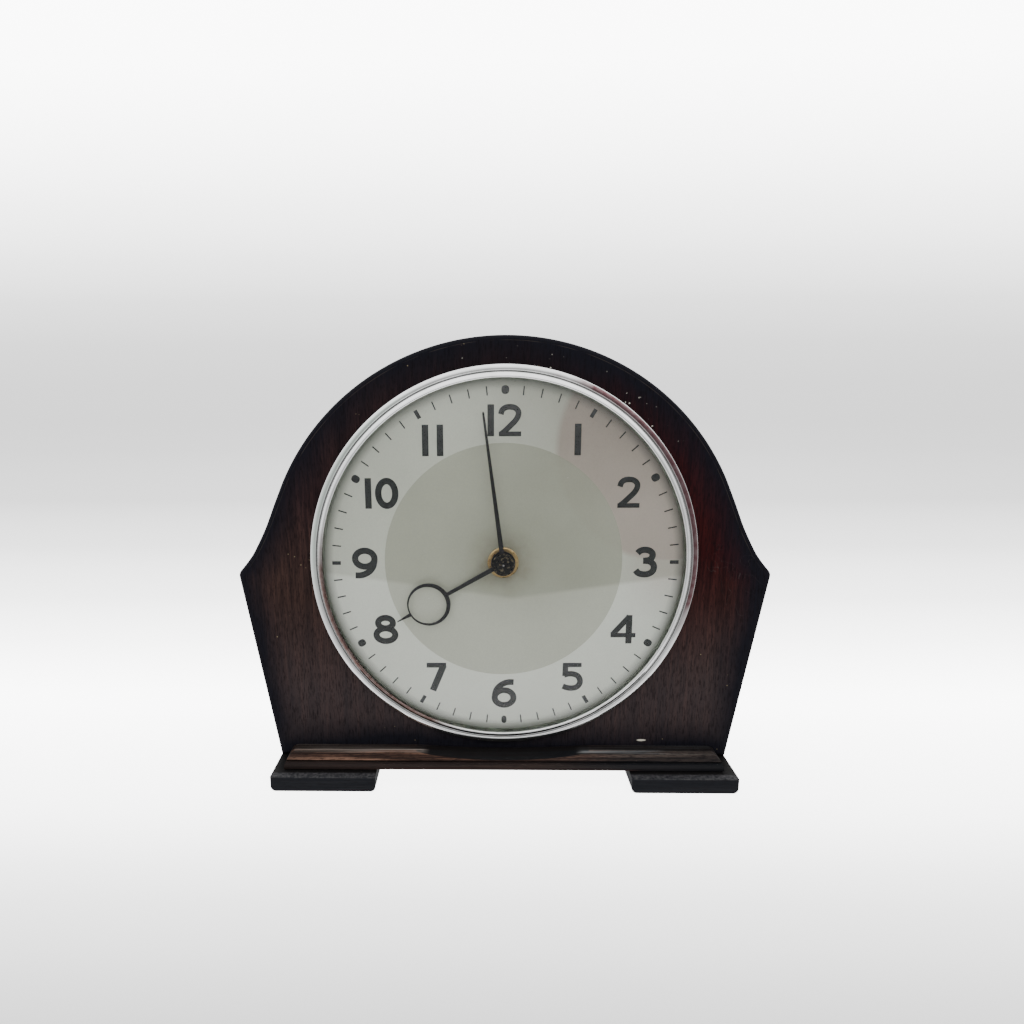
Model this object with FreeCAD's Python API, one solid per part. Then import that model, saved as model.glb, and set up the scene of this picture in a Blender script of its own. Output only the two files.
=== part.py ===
import FreeCAD, Part
import math
import os

# Arched mantel clock with a back-wound eight-day movement.
# Everything is drawn about the centre of the dial face: X to the viewer's right, Y to the back, Z up.
# save() then moves each piece so that the origin is the bottom centre of the whole clock.
# Angles named "clock" run clockwise from twelve, as seen from the front.

os.makedirs("parts", exist_ok=True)
V = FreeCAD.Vector

# ---------------------------------------------------------------- driving dimensions (mm)
dial_height = 91.3            # dial centre above the table
dial_back_shift = -18.5       # dial face relative to the middle of the depth

# case outline, seen from the front
arch_radius = 97.4
arch_centre_z = -8.65
arch_end_angle = 65.0
flank_points = [(92.15, 23.6), (96.17, 14.09), (100.94, 4.97), (103.93, 0.56)]
flank_end_angle = 46.4        # below horizontal, where the flank meets the shoulder
shoulder_x = 108.3
shoulder_z = -4.6
case_foot_x = 95.2
case_bottom_z = -84.85
shoulder_round = 1.6
panel_edge_round = 1.4

# case depth
panel_front_y = -1.0
panel_back_y = 8.5
shell_back_y = 50.0
shell_wall = 6.0
back_board_y0 = 40.0
back_board_y1 = 44.0
board_gap = 0.15

# feet and moulding
foot_inner_x = 52.0
foot_outer_x = 95.0
foot_front_y = -21.0
foot_back_y = 48.0
foot_bottom_z = -91.3
foot_round = 2.2
moulding_half_width = 90.6
moulding_front_y = -14.7
moulding_top_z = -79.95
moulding_bottom_z = -84.55
moulding_scoop_radius = 480.0
moulding_scoop_z = -81.2

# bezel, glass and dial
panel_hole_r = 76.0
sleeve_outer_r = 75.7
sleeve_inner_r = 74.75
sleeve_back_y = 9.3
glass_edge_r = 74.6
glass_edge_y = -2.5
glass_thickness = 1.6
glass_rise = 11.0
sight_ring_inner_r = 72.6
dial_r = 74.6
dial_thickness = 0.8
collar_r = 6.3
collar_height = 0.9

# hands
minute_hand_clock = 352.25
minute_hand_tip = 60.8
hour_hand_clock = 240.4
hour_hand_tip = 49.8
hour_ring_centre = 34.8
hour_ring_r = 8.9
hour_ring_bore_r = 7.75
hour_ring_shift = 0.6         # the bore sits this far beyond the ring centre, so the ring is thin at the tip
cap_r = 4.55

# movement frame
plate_r = 54.0
front_plate_y0 = 9.0
front_plate_y1 = 10.5
back_plate_y0 = 32.5
back_plate_y1 = 34.0
end_shake = 0.4
running = 0.05                # radial running clearance
pillar_places = [(47.8, 8.4), (-47.8, 8.4), (36.0, -32.5), (-36.0, -32.5), (0.0, 48.5)]
dial_foot_places = [(28.3, 28.3), (-28.3, 28.3), (28.3, -28.3), (-28.3, -28.3)]

# arbor centres (x, z)
barrel_at = (0.0, -27.0)
centre_at = (0.0, 0.0)
intermediate_at = (16.75, -6.59)
third_at = (-11.5, 11.4)
fourth_at = (0.28, 18.2)
escape_at = (13.3, 20.5)
lever_at = (20.5, 15.5)
balance_at = (27.5, 6.0)
minute_wheel_at = (-10.392, -6.0)
click_at = (12.5, -22.0)


# ---------------------------------------------------------------- helpers
def save(name, shape):
    moved = shape.copy()
    moved.translate(V(0, dial_back_shift, dial_height))
    moved.exportStep("parts/" + name + ".step")


def rod(at, radius, y0, y1):
    """Cylinder along Y."""
    return Part.makeCylinder(radius, y1 - y0, V(at[0], y0, at[1]), V(0, 1, 0))


def tube(at, outer, inner, y0, y1):
    """Ring along Y."""
    return rod(at, outer, y0, y1).cut(rod(at, inner, y0 - 1, y1 + 1))


def box(x0, x1, y0, y1, z0, z1):
    return Part.makeBox(x1 - x0, y1 - y0, z1 - z0, V(x0, y0, z0))


def slab(points, y0, y1):
    """Closed polygon of (x, z) points, thickened along Y."""
    corners = [V(x, y0, z) for x, z in points]
    corners.append(corners[0])
    return Part.Face(Part.makePolygon(corners)).extrude(V(0, y1 - y0, 0))


def turned(at, points):
    """Closed polygon of (radius, y) points, turned round the axis through at."""
    corners = [V(r, y, 0) for r, y in points]
    corners.append(corners[0])
    face = Part.Face(Part.makePolygon(corners))
    solid = face.revolve(V(0, 0, 0), V(0, 1, 0), 360)
    solid.translate(V(at[0], 0, at[1]))
    return solid


def fuse_all(shapes):
    result = shapes[0]
    for shape in shapes[1:]:
        result = result.fuse(shape)
    return result.removeSplitter()


def cut_all(shape, tools):
    for tool in tools:
        shape = shape.cut(tool)
    return shape


def polar(at, radius, clock):
    """Point at a clock angle and radius from a centre."""
    a = math.radians(clock)
    return (at[0] + radius * math.sin(a), at[1] + radius * math.cos(a))


def clock_angle(start, end):
    return math.degrees(math.atan2(end[0] - start[0], end[1] - start[1]))


def group(shapes):
    """Several separate bodies of one kind, such as a set of screws."""
    return Part.makeCompound(shapes)


def screw(at, shank_r, tip_y, seat_y, head_r, head_height):
    """Slotted round-head screw pointing to the front."""
    shank = rod(at, shank_r, tip_y, seat_y)
    head = rod(at, head_r, seat_y, seat_y + head_height)
    rim = head.Edges[0]
    for edge in head.Edges:
        if edge.CenterOfMass.y > rim.CenterOfMass.y:
            rim = edge
    head = head.makeFillet(head_height * 0.6, [rim])
    slot = box(at[0] - head_r, at[0] + head_r, seat_y + head_height * 0.55, seat_y + head_height + 1,
               at[1] - head_r * 0.14, at[1] + head_r * 0.14)
    return shank.fuse(head.cut(slot)).removeSplitter()


# ---------------------------------------------------------------- gear helpers
# Each tooth is given as (height above the pitch circle, half width), both in modules.
wheel_tooth = [(-1.45, 0.68), (0.25, 0.62), (1.1, 0.16)]
pinion_leaf_12 = [(-1.5, 0.40), (0.0, 0.52), (0.35, 0.44), (0.65, 0.16)]
pinion_leaf_8 = [(-1.5, 0.31), (0.0, 0.50), (0.35, 0.42), (0.65, 0.16)]


def toothed(at, teeth, module, tooth, phase, y0, y1):
    """Solid toothed disc with one tooth centred on the clock angle phase."""
    pitch_r = teeth * module / 2
    points = []
    for k in range(teeth):
        middle = phase + 360.0 * k / teeth
        for height, half in tooth:
            r = pitch_r + height * module
            points.append(polar(at, r, middle - math.degrees(math.atan(half * module / r))))
        for height, half in reversed(tooth):
            r = pitch_r + height * module
            points.append(polar(at, r, middle + math.degrees(math.atan(half * module / r))))
    return slab(points, y0, y1)


def crossings(at, outer, inner, spokes, spoke_width, y0, y1):
    """The openings between the spokes of a wheel."""
    opening = tube(at, outer, inner, y0 - 1, y1 + 1)
    bars = []
    for k in range(spokes):
        bar = box(-spoke_width / 2, spoke_width / 2, y0 - 2, y1 + 2, 0, outer + 1)
        bar.rotate(V(0, 0, 0), V(0, 1, 0), 360.0 * k / spokes)
        bar.translate(V(at[0], 0, at[1]))
        bars.append(bar)
    return cut_all(opening, bars)


def wheel(at, teeth, module, mate, y0, y1, bore, spokes, hub_r):
    """Crossed-out wheel with one tooth on the line to its mate."""
    blank = toothed(at, teeth, module, wheel_tooth, clock_angle(at, mate), y0, y1)
    rim_r = teeth * module / 2 - 1.45 * module - max(0.9, 2.0 * module)
    blank = blank.cut(crossings(at, rim_r, hub_r, spokes, 1.3, y0, y1))
    return blank.cut(rod(at, bore, y0 - 1, y1 + 1))


def pinion(at, leaves, module, mate, y0, y1):
    """Pinion with a space on the line to its mate."""
    leaf = pinion_leaf_8 if leaves < 10 else pinion_leaf_12
    return toothed(at, leaves, module, leaf, clock_angle(at, mate) + 180.0 / leaves, y0, y1)


def arbor(at, body_r, pivot_r):
    """Plain arbor with a pivot through each plate."""
    body = rod(at, body_r, front_plate_y1 + end_shake, back_plate_y0 - end_shake)
    pivot = rod(at, pivot_r, front_plate_y0, back_plate_y1)
    return body.fuse(pivot)


def spiral(at, start_r, pitch, half_turns, thickness, y0, y1):
    """Flat spiral spring made of half circles struck from two centres."""
    step = pitch / 2.0
    inner = []
    outer = []
    for k in range(half_turns):
        middle = at[0] + (step if k % 2 else 0.0)
        side = -1.0 if k % 2 else 1.0
        for r, edges in ((start_r + k * step, inner), (start_r + k * step + thickness, outer)):
            begin = V(middle + side * r, y0, at[1])
            top = V(middle, y0, at[1] + side * r)
            end = V(middle - side * r, y0, at[1])
            edges.append(Part.Arc(begin, top, end).toShape())
    first = Part.makeLine(inner[0].Vertexes[0].Point, outer[0].Vertexes[0].Point)
    last = Part.makeLine(inner[-1].Vertexes[-1].Point, outer[-1].Vertexes[-1].Point)
    wire = Part.Wire(Part.__sortEdges__(inner + [last] + outer + [first]))
    return Part.Face(wire).extrude(V(0, y1 - y0, 0))


# ---------------------------------------------------------------- case
def outline_wire(y, inset):
    """Front view of the case: arch, swept flanks, pointed shoulders, tapering sides, flat bottom."""
    a = math.radians(arch_end_angle)
    r = arch_radius - inset
    end = (r * math.sin(a), arch_centre_z + r * math.cos(a))
    arch_end = (arch_radius * math.sin(a), arch_centre_z + arch_radius * math.cos(a))
    shoulder = (shoulder_x, shoulder_z)
    flank = [end]
    chain = [arch_end] + flank_points + [shoulder]
    for before, here, after in zip(chain, chain[1:], chain[2:]):
        run = math.hypot(after[0] - before[0], after[1] - before[1])
        flank.append((here[0] + inset * (after[1] - before[1]) / run,
                      here[1] - inset * (after[0] - before[0]) / run))
    # the shoulder moves along the line that halves its angle
    taper = math.hypot(shoulder_x - case_foot_x, shoulder_z - case_bottom_z)
    side_in = (-(shoulder_z - case_bottom_z) / taper, (shoulder_x - case_foot_x) / taper)
    b = math.radians(flank_end_angle)
    flank_in = (-math.sin(b), -math.cos(b))
    share = inset / (1 + side_in[0] * flank_in[0] + side_in[1] * flank_in[1])
    corner = (shoulder_x + share * (side_in[0] + flank_in[0]), shoulder_z + share * (side_in[1] + flank_in[1]))
    flank.append(corner)
    foot_z = case_bottom_z + inset
    foot_x = corner[0] - (corner[1] - foot_z) * (shoulder_x - case_foot_x) / (shoulder_z - case_bottom_z)
    edges = [Part.Arc(V(-end[0], y, end[1]), V(0, y, arch_centre_z + r), V(end[0], y, end[1])).toShape()]
    for side in (1, -1):
        curve = Part.BSplineCurve()
        curve.interpolate([V(side * x, y, z) for x, z in flank],
                          InitialTangent=V(side * math.cos(a), 0, -math.sin(a)),
                          FinalTangent=V(side * math.cos(b), 0, -math.sin(b)))
        edges.append(curve.toShape())
        edges.append(Part.makeLine(V(side * corner[0], y, corner[1]), V(side * foot_x, y, foot_z)))
    edges.append(Part.makeLine(V(foot_x, y, foot_z), V(-foot_x, y, foot_z)))
    return Part.Wire(Part.__sortEdges__(edges))


def outline_prism(inset, y0, y1):
    return Part.Face(outline_wire(y0, inset)).extrude(V(0, y1 - y0, 0))


def round_shoulders(shape, radius):
    """Soften the two pointed shoulders."""
    chosen = []
    for edge in shape.Edges:
        ends = [v.Point for v in edge.Vertexes]
        if len(ends) == 2 and abs(abs(ends[0].x) - shoulder_x) < 0.01 and abs(ends[0].z - shoulder_z) < 0.01:
            if abs(ends[1].x - ends[0].x) < 0.001 and abs(ends[1].z - ends[0].z) < 0.001:
                chosen.append(edge)
    return shape.makeFillet(radius, chosen)


panel = round_shoulders(outline_prism(0, panel_front_y, panel_back_y), shoulder_round)
front_rim = []
for edge in panel.Edges:
    box_of_edge = edge.BoundBox
    on_front = abs(box_of_edge.YMax - panel_front_y) < 0.001 and abs(box_of_edge.YMin - panel_front_y) < 0.001
    if on_front and box_of_edge.ZMax > case_bottom_z + 1:
        front_rim.append(edge)
panel = panel.makeFillet(panel_edge_round, front_rim)
panel = panel.cut(rod(centre_at, panel_hole_r, panel_front_y - 1, panel_back_y + 1))

clip_clocks = [60, 120, 240, 300]
clip_screw_places = [polar(centre_at, 80.2, c) for c in clip_clocks]
for place in clip_screw_places:
    panel = panel.cut(rod(place, 1.2, 3.0, panel_back_y + 1))
save("front_panel", panel)

shell_outer = round_shoulders(outline_prism(0, panel_back_y, shell_back_y), shoulder_round)
shell_inner = outline_prism(shell_wall, panel_back_y - 1, shell_back_y + 1)
shell_ring = shell_outer.cut(shell_inner)
base_top_z = case_bottom_z + shell_wall
wide = 200.0
top_half = box(-wide, wide, 0, 60, shoulder_z, wide)
side_zone = box(0, wide, 0, 60, base_top_z, shoulder_z)
side_zone_left = box(-wide, 0, 0, 60, base_top_z, shoulder_z)
bottom_zone = box(-wide, wide, 0, 60, -wide, base_top_z)
save("case_top", shell_ring.common(top_half))
save("right_side", shell_ring.common(side_zone))
save("left_side", shell_ring.common(side_zone_left))

base_board = shell_outer.common(bottom_zone)
foot_screws = []
for side in (1, -1):
    foot = box(foot_inner_x, foot_outer_x, foot_front_y, foot_back_y, foot_bottom_z, case_bottom_z)
    lower_ends = []
    for edge in foot.Edges:
        middle = edge.CenterOfMass
        along_y = abs(edge.BoundBox.YLength - (foot_back_y - foot_front_y)) < 0.1
        if along_y and middle.z < foot_bottom_z + 0.1:
            lower_ends.append(edge)
    foot = foot.makeFillet(foot_round, lower_ends)
    front_edges = []
    for edge in foot.Edges:
        if abs(edge.BoundBox.YMax - foot_front_y) < 0.01 and abs(edge.BoundBox.YMin - foot_front_y) < 0.01:
            front_edges.append(edge)
    foot = foot.makeChamfer(0.4, front_edges)
    for x, y in ((62.0, 16.0), (84.0, 40.0)):
        shank = Part.makeCylinder(1.5, 11.0, V(x, y, foot_bottom_z + 0.6), V(0, 0, 1))
        cone = Part.makeCone(3.0, 1.5, 1.8, V(x, y, foot_bottom_z + 0.6), V(0, 0, 1))
        whole = shank.fuse(cone)
        slot = box(x - 3, x + 3, y - 0.4, y + 0.4, foot_bottom_z, foot_bottom_z + 1.3)
        well = Part.makeCylinder(3.0, 0.6, V(x, y, foot_bottom_z), V(0, 0, 1))
        foot = foot.cut(whole).cut(well)
        if side == 1:
            base_board = base_board.cut(whole)
            mirrored = whole.mirror(V(0, 0, 0), V(1, 0, 0))
            base_board = base_board.cut(mirrored)
            foot_screws.append(whole.cut(slot))
            foot_screws.append(whole.cut(slot).mirror(V(0, 0, 0), V(1, 0, 0)))
    if side == 1:
        save("right_foot", foot)
    else:
        save("left_foot", foot.mirror(V(0, 0, 0), V(1, 0, 0)))
save("base_board", base_board)
save("foot_screws", group(foot_screws))

# moulding profile in (y, z): flat top, ovolo, quirk, lower bead
profile = [
    Part.makeLine(V(0, panel_front_y, moulding_bottom_z), V(0, panel_front_y, moulding_top_z)),
    Part.makeLine(V(0, panel_front_y, moulding_top_z), V(0, -4.5, moulding_top_z)),
    Part.Arc(V(0, -4.5, moulding_top_z), V(0, -9.6, -80.4), V(0, -12.6, -81.45)).toShape(),
    Part.makeLine(V(0, -12.6, -81.45), V(0, -11.9, -81.85)),
    Part.makeLine(V(0, -11.9, -81.85), V(0, -11.9, -82.35)),
    Part.Arc(V(0, -11.9, -82.35), V(0, -14.1, -82.75), V(0, moulding_front_y, -83.8)).toShape(),
    Part.makeLine(V(0, moulding_front_y, -83.8), V(0, moulding_front_y, moulding_bottom_z)),
    Part.makeLine(V(0, moulding_front_y, moulding_bottom_z), V(0, panel_front_y, moulding_bottom_z)),
]
moulding = Part.Face(Part.Wire(profile)).extrude(V(2 * moulding_half_width, 0, 0))
moulding.translate(V(-moulding_half_width, 0, 0))
end_drop = 3.6
end_shape = [
    Part.makeLine(V(-moulding_half_width, 0, case_bottom_z - 1), V(moulding_half_width, 0, case_bottom_z - 1)),
    Part.makeLine(V(moulding_half_width, 0, case_bottom_z - 1),
                  V(moulding_half_width, 0, moulding_top_z - end_drop)),
    Part.Arc(V(moulding_half_width, 0, moulding_top_z - end_drop),
             V(moulding_half_width - 0.29 * end_drop, 0, moulding_top_z - 0.29 * end_drop),
             V(moulding_half_width - end_drop, 0, moulding_top_z)).toShape(),
    Part.makeLine(V(moulding_half_width - end_drop, 0, moulding_top_z),
                  V(-moulding_half_width + end_drop, 0, moulding_top_z)),
    Part.Arc(V(-moulding_half_width + end_drop, 0, moulding_top_z),
             V(-moulding_half_width + 0.29 * end_drop, 0, moulding_top_z - 0.29 * end_drop),
             V(-moulding_half_width, 0, moulding_top_z - end_drop)).toShape(),
    Part.makeLine(V(-moulding_half_width, 0, moulding_top_z - end_drop),
                  V(-moulding_half_width, 0, case_bottom_z - 1)),
]
end_block = Part.Face(Part.Wire(end_shape)).extrude(V(0, 40, 0))
end_block.translate(V(0, -30, 0))
moulding = moulding.common(end_block)
scoop = rod((0, moulding_scoop_z + moulding_scoop_radius), moulding_scoop_radius, -20, 5)
save("base_moulding", moulding.cut(scoop))

# glue blocks in the four corners, shaped to the inside of the shell
inside = outline_prism(shell_wall, panel_back_y, back_board_y0)
block_boxes = [(78.0, 95.0, base_top_z, base_top_z + 12), (80.5, 100.0, 10.0, 24.0)]
back_screw_places = []
blocks = []
for x0, x1, z0, z1 in block_boxes:
    for side in (1, -1):
        block = inside.common(box(x0, x1, 0, 60, z0, z1))
        if side == -1:
            block = block.mirror(V(0, 0, 0), V(1, 0, 0))
        place = (side * (x0 + 3.0), (z0 + z1) / 2)
        back_screw_places.append(place)
        blocks.append(block.cut(rod(place, 1.2, 28.0, 60)))
save("glue_blocks", group(blocks))

board = outline_prism(shell_wall + board_gap, back_board_y0, back_board_y1)
board = board.cut(rod(centre_at, 57.0, 30, 60))
cover_screw_places = [polar(centre_at, 60.3, c) for c in (45, 135, 225, 315)]
for place in back_screw_places:
    board = board.cut(rod(place, 1.2, 30, 60))
for place in cover_screw_places:
    board = board.cut(rod(place, 1.0, 30, 60))
save("back_board", board)
save("back_board_screws", group([screw(p, 1.2, 28.0, back_board_y1, 2.8, 1.3) for p in back_screw_places]))

# ---------------------------------------------------------------- bezel, glass, dial
bezel_edges = [
    Part.makeLine(V(78.2, panel_front_y, 0), V(78.2, -1.3, 0)),
    Part.Arc(V(78.2, -1.3, 0), V(77.1, -3.0, 0), V(75.75, -2.35, 0)).toShape(),
    Part.makeLine(V(75.75, -2.35, 0), V(75.45, -2.35, 0)),
    Part.Arc(V(75.45, -2.35, 0), V(74.3, -3.95, 0), V(73.0, -3.3, 0)).toShape(),
    Part.makeLine(V(73.0, -3.3, 0), V(73.0, -3.06, 0)),
    Part.makeLine(V(73.0, -3.06, 0), V(sleeve_inner_r, -2.53, 0)),
    Part.makeLine(V(sleeve_inner_r, -2.53, 0), V(sleeve_inner_r, sleeve_back_y, 0)),
    Part.makeLine(V(sleeve_inner_r, sleeve_back_y, 0), V(sleeve_outer_r, sleeve_back_y, 0)),
    Part.makeLine(V(sleeve_outer_r, sleeve_back_y, 0), V(sleeve_outer_r, panel_front_y, 0)),
    Part.makeLine(V(sleeve_outer_r, panel_front_y, 0), V(78.2, panel_front_y, 0)),
]
save("bezel", Part.Face(Part.Wire(bezel_edges)).revolve(V(0, 0, 0), V(0, 1, 0), 360))

clips = []
for clock, place in zip(clip_clocks, clip_screw_places):
    clip = box(-5, 5, panel_back_y, sleeve_back_y, sleeve_outer_r - 2, 83.4)
    clip.rotate(V(0, 0, 0), V(0, 1, 0), clock)
    clip = clip.cut(rod(centre_at, sleeve_outer_r, 0, 20))
    clips.append(clip.cut(rod(place, 1.2, 0, 20)))
save("bezel_clips", group(clips))
save("clip_screws", group([screw(p, 1.2, 3.0, sleeve_back_y, 2.4, 1.1) for p in clip_screw_places]))

glass_back_y = glass_edge_y + glass_thickness
dome_r = (glass_edge_r ** 2 + glass_rise ** 2) / (2 * glass_rise)
dome_front_y = glass_edge_y - glass_rise
outer_ball = Part.makeSphere(dome_r, V(0, dome_front_y + dome_r, 0))
inner_ball = Part.makeSphere(dome_r - glass_thickness, V(0, dome_front_y + dome_r, 0))
cap_solid = outer_ball.common(rod(centre_at, glass_edge_r, dome_front_y - 1, glass_back_y))
save("glass", cap_solid.cut(inner_ball))
save("sight_ring", tube(centre_at, dial_r, sight_ring_inner_r, glass_back_y, 0))
dial = tube(centre_at, dial_r, 3.6, 0, dial_thickness)
save("dial_plate", dial)
save("retaining_ring", tube(centre_at, sleeve_inner_r, 71.5, dial_thickness, dial_thickness + 1.6))
save("centre_collar", turned(centre_at, [(3.2, 0), (6.3, 0), (6.3, -0.5), (5.9, -0.9), (3.2, -0.9)]))

feet = []
for place in dial_foot_places:
    foot_post = rod(place, 1.8, dial_thickness, front_plate_y0)
    foot_post = foot_post.fuse(rod(place, 1.2, front_plate_y0, front_plate_y1 + 1.2))
    feet.append(foot_post)
save("dial_feet", group(feet))

# ---------------------------------------------------------------- hands
hand_y0 = -2.1
hand_y1 = -1.6
stem_end = hour_ring_centre - hour_ring_r + 0.8
stem = slab([(-0.95, 3.5), (0.95, 3.5), (0.7, stem_end), (-0.7, stem_end)], hand_y0, hand_y1)
tip_start = hour_ring_centre + hour_ring_r - 0.4
tip = slab([(-0.75, tip_start), (0.75, tip_start), (0.15, hour_hand_tip), (-0.15, hour_hand_tip)],
           hand_y0, hand_y1)
ring = rod((0, hour_ring_centre), hour_ring_r, hand_y0, hand_y1)
ring = ring.cut(rod((0, hour_ring_centre + hour_ring_shift), hour_ring_bore_r, -5, 5))
boss = rod(centre_at, 4.9, hand_y0, hand_y1)
hour_hand = fuse_all([boss, stem, ring, tip]).cut(rod(centre_at, 3.1, -5, 5))
hour_hand.rotate(V(0, 0, 0), V(0, 1, 0), hour_hand_clock)
save("hour_hand", hour_hand)

hand_y0 = -3.9
hand_y1 = -3.5
blade = slab([(-0.98, 3.0), (0.98, 3.0), (0.42, minute_hand_tip - 0.6), (0.0, minute_hand_tip),
              (-0.42, minute_hand_tip - 0.6)], hand_y0, hand_y1)
minute_hand = fuse_all([rod(centre_at, 4.2, hand_y0, hand_y1), blade]).cut(rod(centre_at, 2.0, -5, 5))
minute_hand.rotate(V(0, 0, 0), V(0, 1, 0), minute_hand_clock)
save("minute_hand", minute_hand)
save("minute_hand_cap", turned(centre_at, [(0.7, -3.9), (cap_r, -3.9), (cap_r, -4.5), (3.9, -5.2),
                                           (1.6, -5.4), (0.7, -5.4)]))

# ---------------------------------------------------------------- motion work behind the dial
centre_arbor = rod(centre_at, 1.2, -3.9, 53.0).fuse(rod(centre_at, 0.7, -5.7, -3.9))
save("centre_arbor", centre_arbor)
cannon = pinion(centre_at, 12, 0.5, minute_wheel_at, 6.2, 8.6).fuse(rod(centre_at, 2.0, -3.9, 8.6))
save("cannon_pinion", cannon.cut(rod(centre_at, 1.2, -5, 10)))
minute_work = wheel(minute_wheel_at, 36, 0.5, centre_at, 6.8, 7.7, 0.85, 4, 3.4)
minute_leaves = pinion(minute_wheel_at, 10, 0.48, centre_at, 2.9, 6.8)
minute_leaves = minute_leaves.cut(rod(minute_wheel_at, 0.85, 0, 10))
save("minute_wheel", minute_work.fuse(minute_leaves).removeSplitter())
hour_work = wheel(centre_at, 40, 0.48, minute_wheel_at, 3.6, 4.6, 3.1, 4, 4.3)
hour_pipe = tube(centre_at, 3.1, 2.06, -2.1, 4.6)
save("hour_wheel", hour_work.fuse(hour_pipe).removeSplitter())

knob_points = []
for k in range(32):
    knob_points.append(polar(centre_at, 5.5, 11.25 * k))
    knob_points.append(polar(centre_at, 5.15, 11.25 * k + 5.6))
knob = slab(knob_points, 48.6, 53.0).fuse(rod(centre_at, 4.2, 53.0, 53.6))
save("hand_set_knob", knob.cut(rod(centre_at, 1.2, 48, 53.0)))

# ---------------------------------------------------------------- plates and pillars
pivots = [
    # centre, front pivot radius, back pivot radius
    (barrel_at, 1.6, 2.0),
    (centre_at, 2.2, 2.2),
    (intermediate_at, 1.0, 1.0),
    (third_at, 0.5, 0.5),
    (fourth_at, 0.5, 0.5),
    (escape_at, 0.4, 0.4),
    (lever_at, 0.35, 0.35),
    (balance_at, 0.35, 0.35),
]
front_plate = rod(centre_at, plate_r, front_plate_y0, front_plate_y1)
back_plate = rod(centre_at, plate_r, back_plate_y0, back_plate_y1)
for at, front_r, back_r in pivots:
    front_plate = front_plate.cut(rod(at, front_r + running, 0, 20))
    back_plate = back_plate.cut(rod(at, back_r + running, 20, 40))
for place in pillar_places:
    front_plate = front_plate.cut(rod(place, 1.6, 0, 20))
    back_plate = back_plate.cut(rod(place, 1.3, 20, 40))
for place in dial_foot_places:
    front_plate = front_plate.cut(rod(place, 1.2, 0, 20))
front_plate = front_plate.fuse(rod(minute_wheel_at, 0.8, 2.4, front_plate_y0))

# back plate: regulator boss and slot, hairspring stud, click stud
regulator_boss = tube(balance_at, 2.0, 0.4, back_plate_y1, 35.3)
hairspring_stud = box(balance_at[0] + 6.52, balance_at[0] + 7.7, 29.0, back_plate_y0,
                      balance_at[1] - 0.5, balance_at[1] + 0.5)
click_stud = rod(click_at, 1.0, back_plate_y1, 37.4)
curb_r = 7.1
curb_clock = 20.0
slot_ring = tube(balance_at, curb_r + 0.7, curb_r - 0.7, 20, 40)
slot_wedge = slab([balance_at, polar(balance_at, 14, curb_clock - 27), polar(balance_at, 14, curb_clock),
                   polar(balance_at, 14, curb_clock + 27)], 20, 40)
back_plate = back_plate.cut(slot_ring.common(slot_wedge))
back_plate = fuse_all([back_plate, regulator_boss, hairspring_stud, click_stud])
save("front_plate", front_plate.removeSplitter())
save("back_plate", back_plate)

pillars = []
for place in pillar_places:
    pillar = rod(place, 2.6, front_plate_y1, back_plate_y0).fuse(rod(place, 1.6, front_plate_y0, front_plate_y1))
    pillars.append(pillar.cut(rod(place, 1.3, 27.0, 40)))
save("pillars", group(pillars))
save("pillar_screws", group([screw(p, 1.3, 27.0, back_plate_y1, 2.8, 1.2) for p in pillar_places]))

# ---------------------------------------------------------------- mainspring barrel and winding
barrel_y0 = 11.2
barrel_y1 = 25.2
barrel = toothed(barrel_at, 84, 0.55, wheel_tooth, clock_angle(barrel_at, intermediate_at), barrel_y0, 13.2)
barrel = barrel.fuse(rod(barrel_at, 21.3, barrel_y0, barrel_y1))
barrel = barrel.cut(rod(barrel_at, 20.3, 12.4, 30)).cut(rod(barrel_at, 2.25, 0, 30))
save("barrel", barrel.removeSplitter())
save("barrel_cap", tube(barrel_at, 20.28, 2.25, 24.2, barrel_y1))
save("mainspring", spiral(barrel_at, 3.6, 1.6, 20, 0.45, 12.9, 23.7))
half = 1.4
barrel_arbor = fuse_all([
    rod(barrel_at, 1.6, front_plate_y0, front_plate_y1 + end_shake),
    rod(barrel_at, 2.2, front_plate_y1 + end_shake, back_plate_y0 - end_shake),
    rod(barrel_at, 3.0, 12.8, 23.8),
    rod(barrel_at, 2.0, back_plate_y0 - end_shake, 34.6),
    box(-half, half, 34.6, 51.0, barrel_at[1] - half, barrel_at[1] + half),
])
save("barrel_arbor", barrel_arbor)

square_hole = box(-half, half, 30, 51.0, barrel_at[1] - half, barrel_at[1] + half)
ratchet_points = []
for k in range(20):
    ratchet_points.append(polar(barrel_at, 8.0, 20 + 18 * k))
    ratchet_points.append(polar(barrel_at, 7.1, 20 + 18 * k))
save("ratchet_wheel", slab(ratchet_points, 34.8, 36.2).cut(square_hole))

nose = polar(barrel_at, 8.12, 20)
arm = V(nose[0] - click_at[0], 0, nose[1] - click_at[1])
arm.normalize()
lift = V(-arm.z, 0, arm.x)
if lift.z < 0:
    lift = lift.negative()
click = slab([
    click_at,
    nose,
    (nose[0] + 1.3 * lift.x - 0.3 * arm.x, nose[1] + 1.3 * lift.z - 0.3 * arm.z),
    (click_at[0] + 2.0 * lift.x, click_at[1] + 2.0 * lift.z),
], 34.8, 36.2)
click = click.fuse(rod(click_at, 2.0, 34.8, 36.2)).cut(rod(click_at, 1.0 + running, 30, 40))
save("click", click.removeSplitter())
spring_ring = tube(click_at, 1.9, 1.0, 36.5, 37.0)
leg_a = slab([(click_at[0] - 8.0, click_at[1] + 4.9), (click_at[0] - 8.0, click_at[1] + 5.5),
              (click_at[0] + 0.3, click_at[1] + 1.8), (click_at[0] - 0.3, click_at[1] + 1.2)], 36.5, 37.0)
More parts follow.
